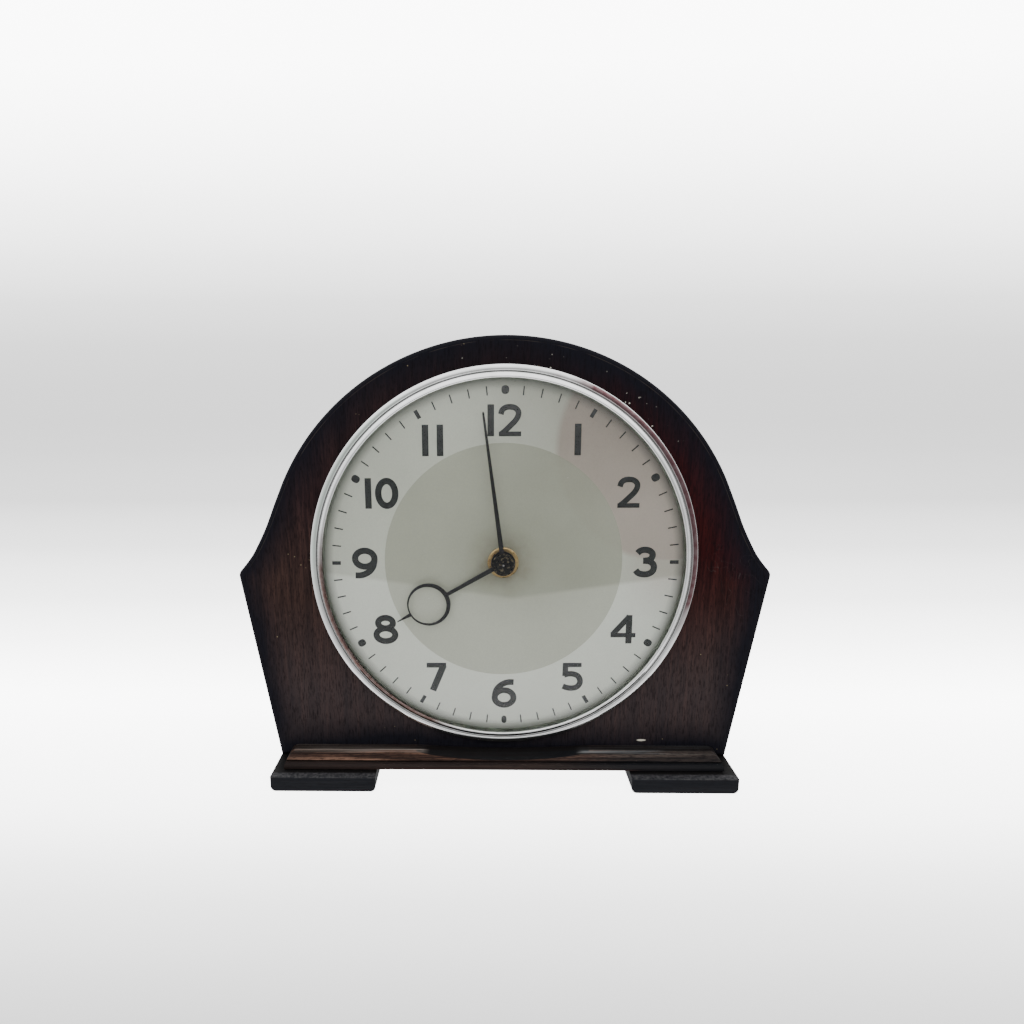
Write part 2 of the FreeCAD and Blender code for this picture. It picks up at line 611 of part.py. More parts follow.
leg_b = slab([(click_at[0] + 1.2, click_at[1] + 0.3), (click_at[0] + 8.0, click_at[1] + 4.4),
              (click_at[0] + 8.3, click_at[1] + 3.9), (click_at[0] + 1.5, click_at[1] - 0.3)], 36.5, 37.0)
spring_anchor = rod((click_at[0] + 8.2, click_at[1] + 4.1), 0.7, back_plate_y1, 37.0)
save("click_spring", fuse_all([spring_ring, leg_a, leg_b, spring_anchor]))

key_hub = rod(barrel_at, 3.4, 48.4, 54.0)
wings = []
for side in (1, -1):
    lobe = Part.makeCylinder(5.0, 2.2, V(side * 6.6, 53.0, barrel_at[1] - 1.1), V(0, 0, 1))
    eye = Part.makeCylinder(2.3, 4.0, V(side * 7.2, 53.2, barrel_at[1] - 2), V(0, 0, 1))
    wings.append(lobe.cut(eye))
winding_key = fuse_all([key_hub] + wings).cut(square_hole)
save("winding_key", winding_key)

# ---------------------------------------------------------------- going train
intermediate = arbor(intermediate_at, 1.5, 1.0).fuse(pinion(intermediate_at, 12, 0.55, barrel_at, 10.9, 14.4))
save("intermediate_arbor", intermediate.removeSplitter())
save("intermediate_wheel", wheel(intermediate_at, 48, 0.6, centre_at, 26.4, 27.8, 1.5, 5, 3.6))

centre_pipe = rod(centre_at, 2.45, front_plate_y1 + end_shake, back_plate_y0 - end_shake)
centre_pipe = centre_pipe.fuse(rod(centre_at, 2.2, front_plate_y0, back_plate_y1 + 0.4))
centre_pipe = centre_pipe.fuse(pinion(centre_at, 12, 0.6, intermediate_at, 25.4, 28.8))
save("centre_pinion", centre_pipe.cut(rod(centre_at, 1.2 + running, 0, 40)).removeSplitter())
save("centre_wheel", wheel(centre_at, 64, 0.45, third_at, 29.3, 30.4, 2.45, 4, 4.2))
save("friction_spring", turned(centre_at, [(1.2, 35.2), (4.6, 34.5), (4.7, 34.8), (1.9, 35.5), (1.9, 36.6),
                                           (1.2, 36.6)]))

third = arbor(third_at, 0.95, 0.5).fuse(pinion(third_at, 8, 0.45, centre_at, 28.3, 31.4))
save("third_arbor", third.removeSplitter())
save("third_wheel", wheel(third_at, 60, 0.4, fourth_at, 18.0, 18.9, 0.95, 4, 2.6))

fourth = arbor(fourth_at, 0.95, 0.5).fuse(pinion(fourth_at, 8, 0.4, third_at, 17.0, 19.9))
save("fourth_arbor", fourth.removeSplitter())
save("fourth_wheel", wheel(fourth_at, 80, 0.3, escape_at, 22.4, 23.2, 0.95, 4, 2.6))

escape = arbor(escape_at, 0.7, 0.4).fuse(pinion(escape_at, 8, 0.3, fourth_at, 21.4, 24.2))
save("escape_arbor", escape.removeSplitter())
escape_tip_r = 6.6
escape_points = []
for k in range(15):
    escape_points.append(polar(escape_at, 4.7, 24 * k - 1))
    escape_points.append(polar(escape_at, escape_tip_r, 24 * k + 3.5))
    escape_points.append(polar(escape_at, escape_tip_r - 0.1, 24 * k + 6.0))
    escape_points.append(polar(escape_at, 4.7, 24 * k + 9))
escape_wheel = slab(escape_points, 14.6, 15.4)
escape_wheel = escape_wheel.cut(crossings(escape_at, 3.7, 1.8, 4, 0.9, 14.6, 15.4))
save("escape_wheel", escape_wheel.cut(rod(escape_at, 0.7, 10, 20)))

# pallet lever: two pins beside the escape wheel and a fork that ends just short of the impulse pin
to_escape = clock_angle(lever_at, escape_at)
to_balance = clock_angle(lever_at, balance_at)
lever_parts = [rod(lever_at, 1.4, 14.6, 15.4)]
for side in (1, -1):
    pin_at = polar(escape_at, 7.6, to_escape + 180 + side * 36)
    pin_clock = clock_angle(lever_at, pin_at)
    reach = math.hypot(pin_at[0] - lever_at[0], pin_at[1] - lever_at[1])
    pallet_arm = box(-0.45, 0.45, 14.6, 15.4, 0, reach)
    pallet_arm.rotate(V(0, 0, 0), V(0, 1, 0), pin_clock)
    pallet_arm.translate(V(lever_at[0], 0, lever_at[1]))
    lever_parts.append(pallet_arm)
    lever_parts.append(rod(pin_at, 0.45, 14.6, 15.4))
tail = slab([(-0.55, 0), (-0.4, 7.4), (-1.3, 9.25), (-0.5, 9.35), (0.0, 8.3), (0.5, 9.35), (1.3, 9.25),
             (0.4, 7.4), (0.55, 0)], 14.6, 15.4)
tail.rotate(V(0, 0, 0), V(0, 1, 0), to_balance)
tail.translate(V(lever_at[0], 0, lever_at[1]))
lever_parts.append(tail)
lever_parts.append(arbor(lever_at, 0.6, 0.35))
for side in (1, -1):
    pin_at = polar(escape_at, 7.6, to_escape + 180 + side * 36)
    lever_parts.append(rod(pin_at, 0.22, 13.6, 15.4))
save("pallet_lever", fuse_all(lever_parts))

# balance
staff = arbor(balance_at, 0.8, 0.35)
roller = rod(balance_at, 2.6, 12.9, 13.8)
impulse_pin = rod(polar(balance_at, 2.0, to_balance + 180), 0.3, 13.8, 15.8)
collet = rod(balance_at, 1.45, 29.0, 30.2)
save("balance_staff", fuse_all([staff, roller, impulse_pin, collet]))
balance_wheel = rod(balance_at, 8.5, 17.5, 19.1)
balance_wheel = balance_wheel.cut(crossings(balance_at, 7.2, 1.9, 3, 1.1, 17.5, 19.1))
save("balance_wheel", balance_wheel.cut(rod(balance_at, 0.8, 10, 30)))
save("hairspring", spiral(balance_at, 1.6, 0.6, 16, 0.12, 29.2, 30.0))

# regulator: ring on the boss, short arm with the curb pin, long arm with a tab through the cover
ring_plate = rod(balance_at, 3.4, back_plate_y1 + 0.1, 35.0)
long_arm = box(-0.9, 0.9, back_plate_y1 + 0.1, 35.0, 0, 14.0)
long_arm.rotate(V(0, 0, 0), V(0, 1, 0), curb_clock)
long_arm.translate(V(balance_at[0], 0, balance_at[1]))
tab_at = polar(balance_at, 14.0, curb_clock)
tab = rod(tab_at, 1.1, back_plate_y1 + 0.1, 50.0)
curb_pin = rod(polar(balance_at, curb_r, curb_clock), 0.25, 29.4, 34.6)
regulator = fuse_all([ring_plate, long_arm, tab, curb_pin]).cut(rod(balance_at, 2.0 + running, 30, 40))
save("regulator_lever", regulator)

# ---------------------------------------------------------------- dust cover
cover = turned(centre_at, [(0, 46.7), (54.5, 46.7), (56.3, back_board_y1), (63.0, back_board_y1),
                           (63.0, 44.8), (56.9, 44.8), (55.0, 47.5), (0, 47.5)])
cover = cover.cut(rod(centre_at, 1.9, 40, 60)).cut(rod(barrel_at, 3.0, 40, 60))
tab_slot = tube(balance_at, 15.7, 12.3, 40, 60)
tab_wedge = slab([balance_at, polar(balance_at, 30, curb_clock - 29), polar(balance_at, 30, curb_clock),
                  polar(balance_at, 30, curb_clock + 29)], 40, 60)
cover = cover.cut(tab_slot.common(tab_wedge))
for place in cover_screw_places:
    cover = cover.cut(rod(place, 1.0, 40, 60))
save("dust_cover", cover)
save("cover_screws", group([screw(p, 1.0, 40.5, 44.8, 2.2, 1.1) for p in cover_screw_places]))
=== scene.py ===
import math

import bpy
import bmesh
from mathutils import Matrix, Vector


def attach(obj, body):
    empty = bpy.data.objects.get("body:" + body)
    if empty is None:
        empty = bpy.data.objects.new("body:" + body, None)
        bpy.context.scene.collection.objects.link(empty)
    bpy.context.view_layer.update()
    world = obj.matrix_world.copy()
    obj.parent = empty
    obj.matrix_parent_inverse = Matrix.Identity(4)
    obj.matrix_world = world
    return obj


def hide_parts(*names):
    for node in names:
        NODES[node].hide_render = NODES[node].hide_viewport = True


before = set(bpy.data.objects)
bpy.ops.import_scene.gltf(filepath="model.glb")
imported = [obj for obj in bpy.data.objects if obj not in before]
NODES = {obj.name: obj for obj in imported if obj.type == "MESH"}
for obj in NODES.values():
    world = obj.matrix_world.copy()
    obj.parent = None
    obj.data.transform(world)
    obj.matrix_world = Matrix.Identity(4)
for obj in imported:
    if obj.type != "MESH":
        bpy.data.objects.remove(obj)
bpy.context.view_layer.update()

MM = 0.001
DIAL_Y = -18.5          # dial face, mm, in the row frame
DIAL_Z = 91.3           # dial centre above the table, mm


def at(x, y, z):
    """Millimetres about the dial centre to metres in the row frame."""
    return Vector((x * MM, (y + DIAL_Y) * MM, (z + DIAL_Z) * MM))


# ------------------------------------------------------------------ material helpers
class Mat:
    """A node material with short ways to add nodes."""

    def __init__(self, name):
        self.m = bpy.data.materials.new(name)
        self.m.use_nodes = True
        self.t = self.m.node_tree
        self.bsdf = self.t.nodes["Principled BSDF"]
        self.coord = self.t.nodes.new("ShaderNodeTexCoord").outputs["Object"]

    def set(self, **values):
        for key, value in values.items():
            self.bsdf.inputs[key.replace("_", " ")].default_value = value
        return self

    def link(self, a, b):
        self.t.links.new(a, b)

    def to(self, name, socket):
        self.link(socket, self.bsdf.inputs[name])

    def mapped(self, scale=(1, 1, 1), rotation=(0, 0, 0), location=(0, 0, 0), source=None):
        n = self.t.nodes.new("ShaderNodeMapping")
        n.inputs["Scale"].default_value = scale
        n.inputs["Rotation"].default_value = rotation
        n.inputs["Location"].default_value = location
        self.link(source or self.coord, n.inputs["Vector"])
        return n.outputs["Vector"]

    def noise(self, vector, scale, detail=4.0, rough=0.55, distort=0.0):
        n = self.t.nodes.new("ShaderNodeTexNoise")
        n.inputs["Scale"].default_value = scale
        n.inputs["Detail"].default_value = detail
        n.inputs["Roughness"].default_value = rough
        n.inputs["Distortion"].default_value = distort
        self.link(vector, n.inputs["Vector"])
        return n.outputs["Fac"]

    def voronoi(self, vector, scale):
        n = self.t.nodes.new("ShaderNodeTexVoronoi")
        n.inputs["Scale"].default_value = scale
        self.link(vector, n.inputs["Vector"])
        return n.outputs["Distance"]

    def ramp(self, fac, *stops):
        n = self.t.nodes.new("ShaderNodeValToRGB")
        e = n.color_ramp.elements
        while len(e) < len(stops):
            e.new(0.5)
        for k, (pos, colour) in enumerate(stops):
            e[k].position = pos
            if not hasattr(colour, "__len__"):
                colour = (colour,) * 3
            e[k].color = (*colour[:3], 1)
        self.link(fac, n.inputs["Fac"])
        return n.outputs["Color"]

    def span(self, value, a, b, low=0.0, high=1.0):
        n = self.t.nodes.new("ShaderNodeMapRange")
        n.inputs["From Min"].default_value = a
        n.inputs["From Max"].default_value = b
        n.inputs["To Min"].default_value = low
        n.inputs["To Max"].default_value = high
        self.link(value, n.inputs["Value"])
        return n.outputs["Result"]

    def mix(self, fac, a, b, mode="MIX"):
        n = self.t.nodes.new("ShaderNodeMix")
        n.data_type = "RGBA"
        n.blend_type = mode
        for socket, value in ((n.inputs[0], fac), (n.inputs[6], a), (n.inputs[7], b)):
            if hasattr(value, "is_linked"):
                self.link(value, socket)
            elif hasattr(value, "__len__"):
                socket.default_value = (*value[:3], 1)
            else:
                socket.default_value = value
        return n.outputs[2]

    def math(self, op, a, b=None):
        n = self.t.nodes.new("ShaderNodeMath")
        n.operation = op
        for k, value in enumerate((a, b)):
            if value is None:
                continue
            if hasattr(value, "is_linked"):
                self.link(value, n.inputs[k])
            else:
                n.inputs[k].default_value = value
        return n.outputs[0]

    def attribute(self, name):
        n = self.t.nodes.new("ShaderNodeAttribute")
        n.attribute_name = name
        return n.outputs["Fac"]

    def axis(self, vector, which):
        n = self.t.nodes.new("ShaderNodeSeparateXYZ")
        self.link(vector, n.inputs[0])
        return n.outputs[which]

    def length(self, vector):
        n = self.t.nodes.new("ShaderNodeVectorMath")
        n.operation = "LENGTH"
        self.link(vector, n.inputs[0])
        return n.outputs["Value"]

    def from_dial(self):
        """Distance from the axis of the dial, in metres, and clock angle in radians from -pi to pi."""
        flat = self.mapped(location=(0, 0, -DIAL_Z * MM), scale=(1, 0, 1))
        return self.length(flat), self.math("ARCTAN2", self.axis(flat, 0), self.axis(flat, 2))

    def bump(self, height, strength, distance, normal=None):
        n = self.t.nodes.new("ShaderNodeBump")
        n.inputs["Strength"].default_value = strength
        n.inputs["Distance"].default_value = distance
        self.link(height, n.inputs["Height"])
        if normal is not None:
            self.link(normal, n.inputs["Normal"])
        return n.outputs["Normal"]


def wood(name, along, dark, mid, light, pore, rough, gloss=0.3, panel=False, bead=False, foot=False):
    """Stained wood with a straight grain and short dark pores. along is the axis the grain runs on."""
    w = Mat(name)
    squeeze = [1.0, 1.0, 1.0]
    squeeze["XYZ".index(along)] = 0.11
    v = w.mapped(scale=squeeze)
    squeeze["XYZ".index(along)] = 0.03
    long_v = w.mapped(scale=squeeze)
    figure = w.noise(long_v, 560 if bead else 900, 5, 0.65, 0.3)
    pores = w.noise(v, 3000, 3, 0.6, 0.12)
    fine = w.noise(w.mapped(scale=squeeze, location=(0.31, 0.17, 0.23)), 3300, 2, 0.5)
    base = w.ramp(figure, (0.30, dark), (0.50, mid), (0.72, light))
    base = w.mix(w.span(fine, 0.50, 0.72, 0.0, 0.22), base, light)
    if panel:
        # painted sheen: lighter diagonal streaks stand in for light playing on the grain
        sheen = w.noise(w.mapped(rotation=(0, math.radians(52), 0), scale=(1, 1, 0.16)), 190, 3, 0.5, 0.6)
        base = w.mix(w.span(sheen, 0.50, 0.68, 0.0, 0.40), base, light)
        base = panel_tone(w, base)
    base = w.mix(w.span(pores, 0.36, 0.50, pore, 0.0), base, (0.0042, 0.0034, 0.0040))
    if panel:
        base = panel_wear_and_rim_highlight(w, base)
    if bead:
        # the sweep of the bezel's hollow, painted near black as shade, the rounded bead below it, painted highlight
        # streaks along the top and the lower edge, and sooty streaks
        z = w.axis(w.coord, 2)
        x = w.axis(w.coord, 0)
        # painted shade: the surface of the bezel's hollow, which lies under the bezel, is painted near black
        scoop = w.math("ADD", w.math("DIVIDE", w.math("MULTIPLY", x, x), 0.96), 0.0101)
        off = w.math("ABSOLUTE", w.math("SUBTRACT", z, scoop))
        base = w.mix(w.span(off, 0.00010, 0.00016, 1.0, 0.0), base, (0.0090, 0.0090, 0.0095))
        base = w.mix(w.span(z, 0.00990, 0.00975, 0.0, 0.92), base, (0.0160, 0.0118, 0.0112))
        # painted highlight: pale streaks along the upper curve of the moulding
        coarse = w.noise(long_v, 420, 3)
        bright = w.math("MULTIPLY", w.span(z, 0.01108, 0.01127), w.span(coarse, 0.46, 0.6))
        base = w.mix(w.math("MULTIPLY", bright, 0.7), base, (0.25, 0.215, 0.19))
        sooty = w.span(w.noise(w.mapped(scale=(0.03, 1, 1), location=(0.4, 0.3, 0.2)), 620, 4), 0.47, 0.60)
        base = w.mix(w.math("MULTIPLY", sooty, 0.75), base, (0.0080, 0.0062, 0.0062))
        ends = w.span(w.math("ABSOLUTE", x), 0.064, 0.090, 0.0, 0.5)
        base = w.mix(ends, base, (0.0080, 0.0065, 0.0065))
        cold = w.span(x, 0.010, 0.050)
        base = w.mix(cold, base, w.mix(1.0, base, (0.57, 0.80, 0.98), "MULTIPLY"))
        rear = w.span(w.axis(w.coord, 1), -0.0243, -0.0236, 0.0, 0.85)
        base = w.mix(rear, base, (0.0070, 0.0058, 0.0058))
        # painted highlight: a reddish streak along the lower edge of the moulding
        lip = w.math("MULTIPLY", w.span(z, 0.0073, 0.0070), w.span(w.noise(long_v, 500, 3), 0.40, 0.6))
        lip = w.math("MULTIPLY", lip, w.span(w.math("ABSOLUTE", x), 0.058, 0.045))
        base = w.mix(w.math("MULTIPLY", lip, 0.7), base, (0.075, 0.040, 0.034))
    if foot:
        # dusty upper face, with painted shade along the moulding
        y = w.axis(w.coord, 1)
        z = w.axis(w.coord, 2)
        top = w.span(z, 0.00600, 0.00640)
        rough_top = w.span(w.noise(w.coord, 900, 3), 0.35, 0.65)
        dusty = w.math("MULTIPLY", w.math("MULTIPLY", top, rough_top), 0.80)
        base = w.mix(dusty, base, (0.058, 0.056, 0.058))
        # painted shade: the upper face is darkened where it runs in under the moulding
        shade_under_moulding = w.math("MULTIPLY", top, w.span(y, -0.0364, -0.0350))
        base = w.mix(shade_under_moulding, base, (0.0035, 0.0032, 0.0032))
    w.to("Base Color", base)
    w.to("Roughness", w.span(w.noise(w.coord, 90, 4), 0.3, 0.7, rough - 0.06, rough + 0.1))
    grain = w.bump(pores, 0.25, 0.00012)
    w.to("Normal", w.bump(w.noise(w.coord, 60, 2), 0.06, 0.0006, grain))
    w.set(IOR=1.5, Specular_IOR_Level=gloss)
    return w


def panel_tone(w, base):
    """Sprayed shading: near black round the edge, redder at the upper right, greyer at the foot."""
    x = w.axis(w.coord, 0)
    z = w.axis(w.coord, 2)
    cloud = w.noise(w.coord, 26, 3)
    red = w.math("MULTIPLY", w.span(x, -0.035, 0.045), w.span(z, 0.045, 0.095))
    base = w.mix(w.math("MULTIPLY", red, 0.86), base, w.mix(1.0, base, (0.66, 0.13, 0.20), "MULTIPLY"))
    upper = w.math("MULTIPLY", w.span(z, 0.085, 0.118), w.span(x, 0.05, 0.02))
    base = w.mix(w.math("MULTIPLY", upper, 0.8), base, w.mix(1.0, base, (0.56, 0.50, 0.66), "MULTIPLY"))
    top = w.math("MULTIPLY", w.span(z, 0.125, 0.172), 0.62)
    base = w.mix(top, base, (0.0075, 0.0060, 0.0070))
    low = w.span(z, 0.075, 0.035)
    base = w.mix(w.math("MULTIPLY", low, 0.45), base, (0.045, 0.039, 0.043))
    edge = w.math("ADD", w.attribute("edge"), w.span(cloud, 0.3, 0.7, -0.14, 0.14))
    return w.mix(w.span(edge, 0.10, 0.66, 0.94, 0.0), base, (0.0068, 0.0072, 0.0108))


def panel_wear_and_rim_highlight(w, base):
    """Painted highlight line just inside the rim, small paint specks near the bezel, faint scratches and one chip."""
    x = w.axis(w.coord, 0)
    z = w.axis(w.coord, 2)
    away = w.attribute("away")
    # painted highlight: a thin lighter line 1.9 mm inside the outline on the upper part, where the rounded rim catches
    # the light
    line = w.math("SUBTRACT", 1.0, w.math("MINIMUM", 1.0, w.math("MULTIPLY", w.math("ABSOLUTE",
                  w.math("SUBTRACT", away, 1.9)), 6.0)))
    broken = w.span(w.noise(w.coord, 110, 4), 0.36, 0.56)
    high = w.span(z, 0.085, 0.10)
    base = w.mix(w.math("MULTIPLY", w.math("MULTIPLY", line, broken), w.math("MULTIPLY", high, 0.55)), base,
                 (0.060, 0.050, 0.042))
    flat = w.mapped(location=(0, 0, -DIAL_Z * MM), scale=(1, 0, 1))
    far = w.length(flat)
    near = w.span(far, 0.0785, 0.0860, 1.0, 0.0)
    upper = w.math("MULTIPLY", w.span(x, -0.022, -0.008), w.span(z, 0.128, 0.140))
    spots = w.span(w.voronoi(w.coord, 520), 0.13, 0.20, 1.0, 0.0)
    chosen = w.span(w.noise(w.coord, 260, 2), 0.585, 0.60)
    mask = w.math("MULTIPLY", w.math("MULTIPLY", near, upper), w.math("MULTIPLY", spots, chosen))
    base = w.mix(mask, base, (0.52, 0.50, 0.44))
    dust = w.span(w.voronoi(w.mapped(location=(0.2, 0.1, 0.3)), 300), 0.05, 0.10, 1.0, 0.0)
    rare = w.span(w.noise(w.mapped(location=(0.7, 0.2, 0.4)), 90, 2), 0.60, 0.62)
    base = w.mix(w.math("MULTIPLY", w.math("MULTIPLY", dust, rare), 0.6), base, (0.22, 0.18, 0.11))
    curl = w.math("ABSOLUTE", w.math("SUBTRACT", w.noise(w.coord, 55, 2, 0.5, 1.6), 0.5))
    patch = w.math("MULTIPLY", w.span(x, 0.078, 0.086), w.span(w.noise(w.coord, 40, 2), 0.52, 0.60))
    base = w.mix(w.math("MULTIPLY", w.span(curl, 0.0, 0.004, 0.22, 0.0), patch), base, (0.09, 0.085, 0.08))
    chip = w.length(w.mapped(location=(-0.0592 * 480, 0, -0.0138 * 2100), scale=(480, 0, 2100)))
    return w.mix(w.span(chip, 0.75, 1.05, 1.0, 0.0), base, (0.55, 0.52, 0.44))


def metal(name, colour, rough, scratch, tarnish):
    """Bare metal with fine scratches and uneven tarnish."""
    m = Mat(name)
    cloud = m.noise(m.coord, 160, 4)
    m.to("Base Color", m.mix(m.span(cloud, 0.35, 0.7), colour, tarnish))
    lines = m.noise(m.coord, 900, 3)
    m.to("Roughness", m.span(lines, 0.3, 0.7, max(0.02, rough - scratch), rough + scratch))
    m.to("Normal", m.bump(lines, 0.05, 0.00004))
    m.set(Metallic=1.0, IOR=1.5)
    return m


# ------------------------------------------------------------------ materials
MAT = {}                # short name: material
MAT["panel"] = wood("wood_panel", "Z", (0.0145, 0.0094, 0.0094), (0.0290, 0.0172, 0.0152),
                    (0.0580, 0.0310, 0.0255), 0.64, 0.40, gloss=0.03, panel=True)
MAT["shell"] = wood("wood_shell", "Y", (0.0055, 0.0040, 0.0038), (0.0098, 0.0064, 0.0058),
                    (0.0180, 0.0110, 0.0090), 0.7, 0.50, gloss=0.03)
MAT["rail"] = wood("wood_rail", "X", (0.0170, 0.0110, 0.0090), (0.0680, 0.0370, 0.0270),
                   (0.2000, 0.1150, 0.0800), 0.80, 0.50, gloss=0.03, bead=True)
MAT["foot"] = wood("wood_foot", "X", (0.0052, 0.0058, 0.0078), (0.0082, 0.0090, 0.0116),
                   (0.0135, 0.0138, 0.0164), 0.5, 0.50, gloss=0.08, foot=True)
MAT["ply"] = wood("wood_ply", "X", (0.045, 0.026, 0.016), (0.075, 0.045, 0.028),
                  (0.12, 0.076, 0.048), 0.5, 0.55)
MAT["raw"] = wood("wood_raw", "Y", (0.22, 0.13, 0.07), (0.32, 0.20, 0.11), (0.42, 0.28, 0.17), 0.3, 0.6)


def chrome():
    """Plated brass with a painted shade line in the groove, tiny pits, painted pinkish reflections on the slopes at the
    right and the lower left, and a painted greenish-white reflection on the outer roll at the left."""
    groove_r = 0.07558      # where the two rolls meet
    m = Mat("chrome_plate")
    far, clock = m.from_dial()
    cloud = m.noise(m.coord, 160, 4)
    base = m.mix(m.span(cloud, 0.35, 0.7), (0.88, 0.88, 0.88), (0.76, 0.77, 0.76))
    wobble = m.span(m.noise(m.coord, 55, 2), 0.3, 0.7, -0.12, 0.12)
    turn = m.math("ADD", clock, wobble)
    # painted reflection: a pink tint on the outer roll at the right
    slope = m.math("MULTIPLY", m.span(far, 0.0757, 0.0760), m.span(far, 0.0779, 0.0776))
    right = m.math("MULTIPLY", m.span(turn, 0.25, 0.45), m.span(turn, 2.0, 1.75))
    streak = m.span(m.noise(m.mapped(scale=(1, 0.2, 1)), 420, 3), 0.35, 0.65, 0.90, 1.0)
    base = m.mix(m.math("MULTIPLY", m.math("MULTIPLY", slope, right), streak), base, (0.150, 0.070, 0.078))
    # painted reflection: a pinkish-brown tint on the inner roll at the lower left
    inner = m.math("MULTIPLY", m.span(far, 0.0728, 0.0730), m.span(far, 0.0750, 0.0744))
    left = m.math("MULTIPLY", m.span(turn, -1.25, -1.62), m.span(turn, -2.95, -2.65))
    base = m.mix(m.math("MULTIPLY", m.math("MULTIPLY", inner, left), streak), base, (0.125, 0.072, 0.062))
    # painted reflection: a greenish-white tint on the outer roll at the left
    side = m.math("MULTIPLY", m.span(turn, -0.35, -0.7), m.span(turn, -1.8, -1.5))
    plate = m.math("MULTIPLY", m.span(far, 0.0757, 0.0760), m.span(far, 0.0777, 0.0773))
    base = m.mix(m.math("MULTIPLY", side, plate), base, (0.84, 0.93, 0.87))
    # painted shade: a dark, rougher line along the groove between the rolls
    groove = m.math("SUBTRACT", 1.0, m.math("MINIMUM", 1.0, m.math("MULTIPLY", m.math("ABSOLUTE",
                    m.math("SUBTRACT", far, groove_r)), 4200.0)))
    base = m.mix(m.math("MULTIPLY", groove, 0.96), base, (0.020, 0.021, 0.020))
    pits = m.math("MULTIPLY", m.span(m.voronoi(m.coord, 900), 0.05, 0.12, 1.0, 0.0),
                  m.span(m.noise(m.coord, 120, 2), 0.60, 0.64))
    base = m.mix(m.math("MULTIPLY", pits, 0.7), base, (0.16, 0.15, 0.13))
    lines = m.noise(m.coord, 900, 3)
    m.to("Base Color", base)
    m.to("Roughness", m.math("ADD", m.span(lines, 0.3, 0.7, 0.10, 0.17), m.math("MULTIPLY", groove, 0.4)))
    m.to("Normal", m.bump(lines, 0.05, 0.00004))
    m.set(Metallic=1.0)
    return m


MAT["chrome"] = chrome()
MAT["ring"] = metal("sight_ring_metal", (0.44, 0.48, 0.41), 0.5, 0.08, (0.26, 0.29, 0.24))
MAT["brass"] = metal("aged_brass", (0.50, 0.37, 0.17), 0.30, 0.10, (0.30, 0.20, 0.09))
MAT["cover"] = metal("cover_metal", (0.44, 0.36, 0.20), 0.38, 0.10, (0.27, 0.20, 0.11))
MAT["steel"] = metal("bright_steel", (0.46, 0.46, 0.47), 0.25, 0.08, (0.32, 0.31, 0.30))
MAT["spring"] = metal("spring_steel", (0.16, 0.18, 0.24), 0.28, 0.08, (0.10, 0.10, 0.12))
MAT["screw"] = metal("screw_metal", (0.38, 0.35, 0.29), 0.36, 0.10, (0.20, 0.16, 0.11))

hand = Mat("black_hand")
hand.to("Base Color", hand.mix(hand.span(hand.noise(hand.coord, 700, 3), 0.35, 0.7),
                               (0.0045, 0.0050, 0.0060), (0.0100, 0.0110, 0.0115)))
hand.to("Roughness", hand.span(hand.noise(hand.coord, 1200, 3), 0.3, 0.7, 0.35, 0.5))
hand.set(Specular_IOR_Level=0.25)
MAT["hand"] = hand

glass = Mat("clear_glass")
glass.to("Roughness", glass.span(glass.noise(glass.coord, 25, 3), 0.35, 0.8, 0.0, 0.03))
glass.set(Base_Color=(1, 1, 1, 1), Transmission_Weight=1.0, IOR=1.28)
MAT["glass"] = glass

cap = Mat("worn_black_cap")
worn = cap.span(cap.noise(cap.coord, 800, 4), 0.54, 0.61)
cap.to("Base Color", cap.mix(worn, (0.0015, 0.0018, 0.0022), (0.110, 0.092, 0.058)))
cap.to("Roughness", cap.span(cap.noise(cap.coord, 1200, 3), 0.3, 0.7, 0.38, 0.6))
cap.set(Specular_IOR_Level=0.10)
MAT["cap"] = cap

axle = Mat("arbor_steel")
rim, _ = axle.from_dial()
blued = axle.mix(axle.span(axle.noise(axle.coord, 160, 4), 0.35, 0.7), (0.46, 0.46, 0.47), (0.32, 0.31, 0.30))
# painted highlight: in front of the dial the arbor is near black except a small central dot of bright steel, which
# stands for a glint
ahead = axle.span(axle.axis(axle.coord, 1), -0.0200, -0.0210)
tip = axle.math("MULTIPLY", ahead, axle.span(rim, 0.00034, 0.00042))
axle.to("Base Color", axle.mix(tip, blued, (0.012, 0.012, 0.012)))
axle.to("Roughness", axle.span(axle.noise(axle.coord, 900, 3), 0.3, 0.7, 0.2, 0.35))
axle.set(Metallic=1.0)
MAT["axle"] = axle


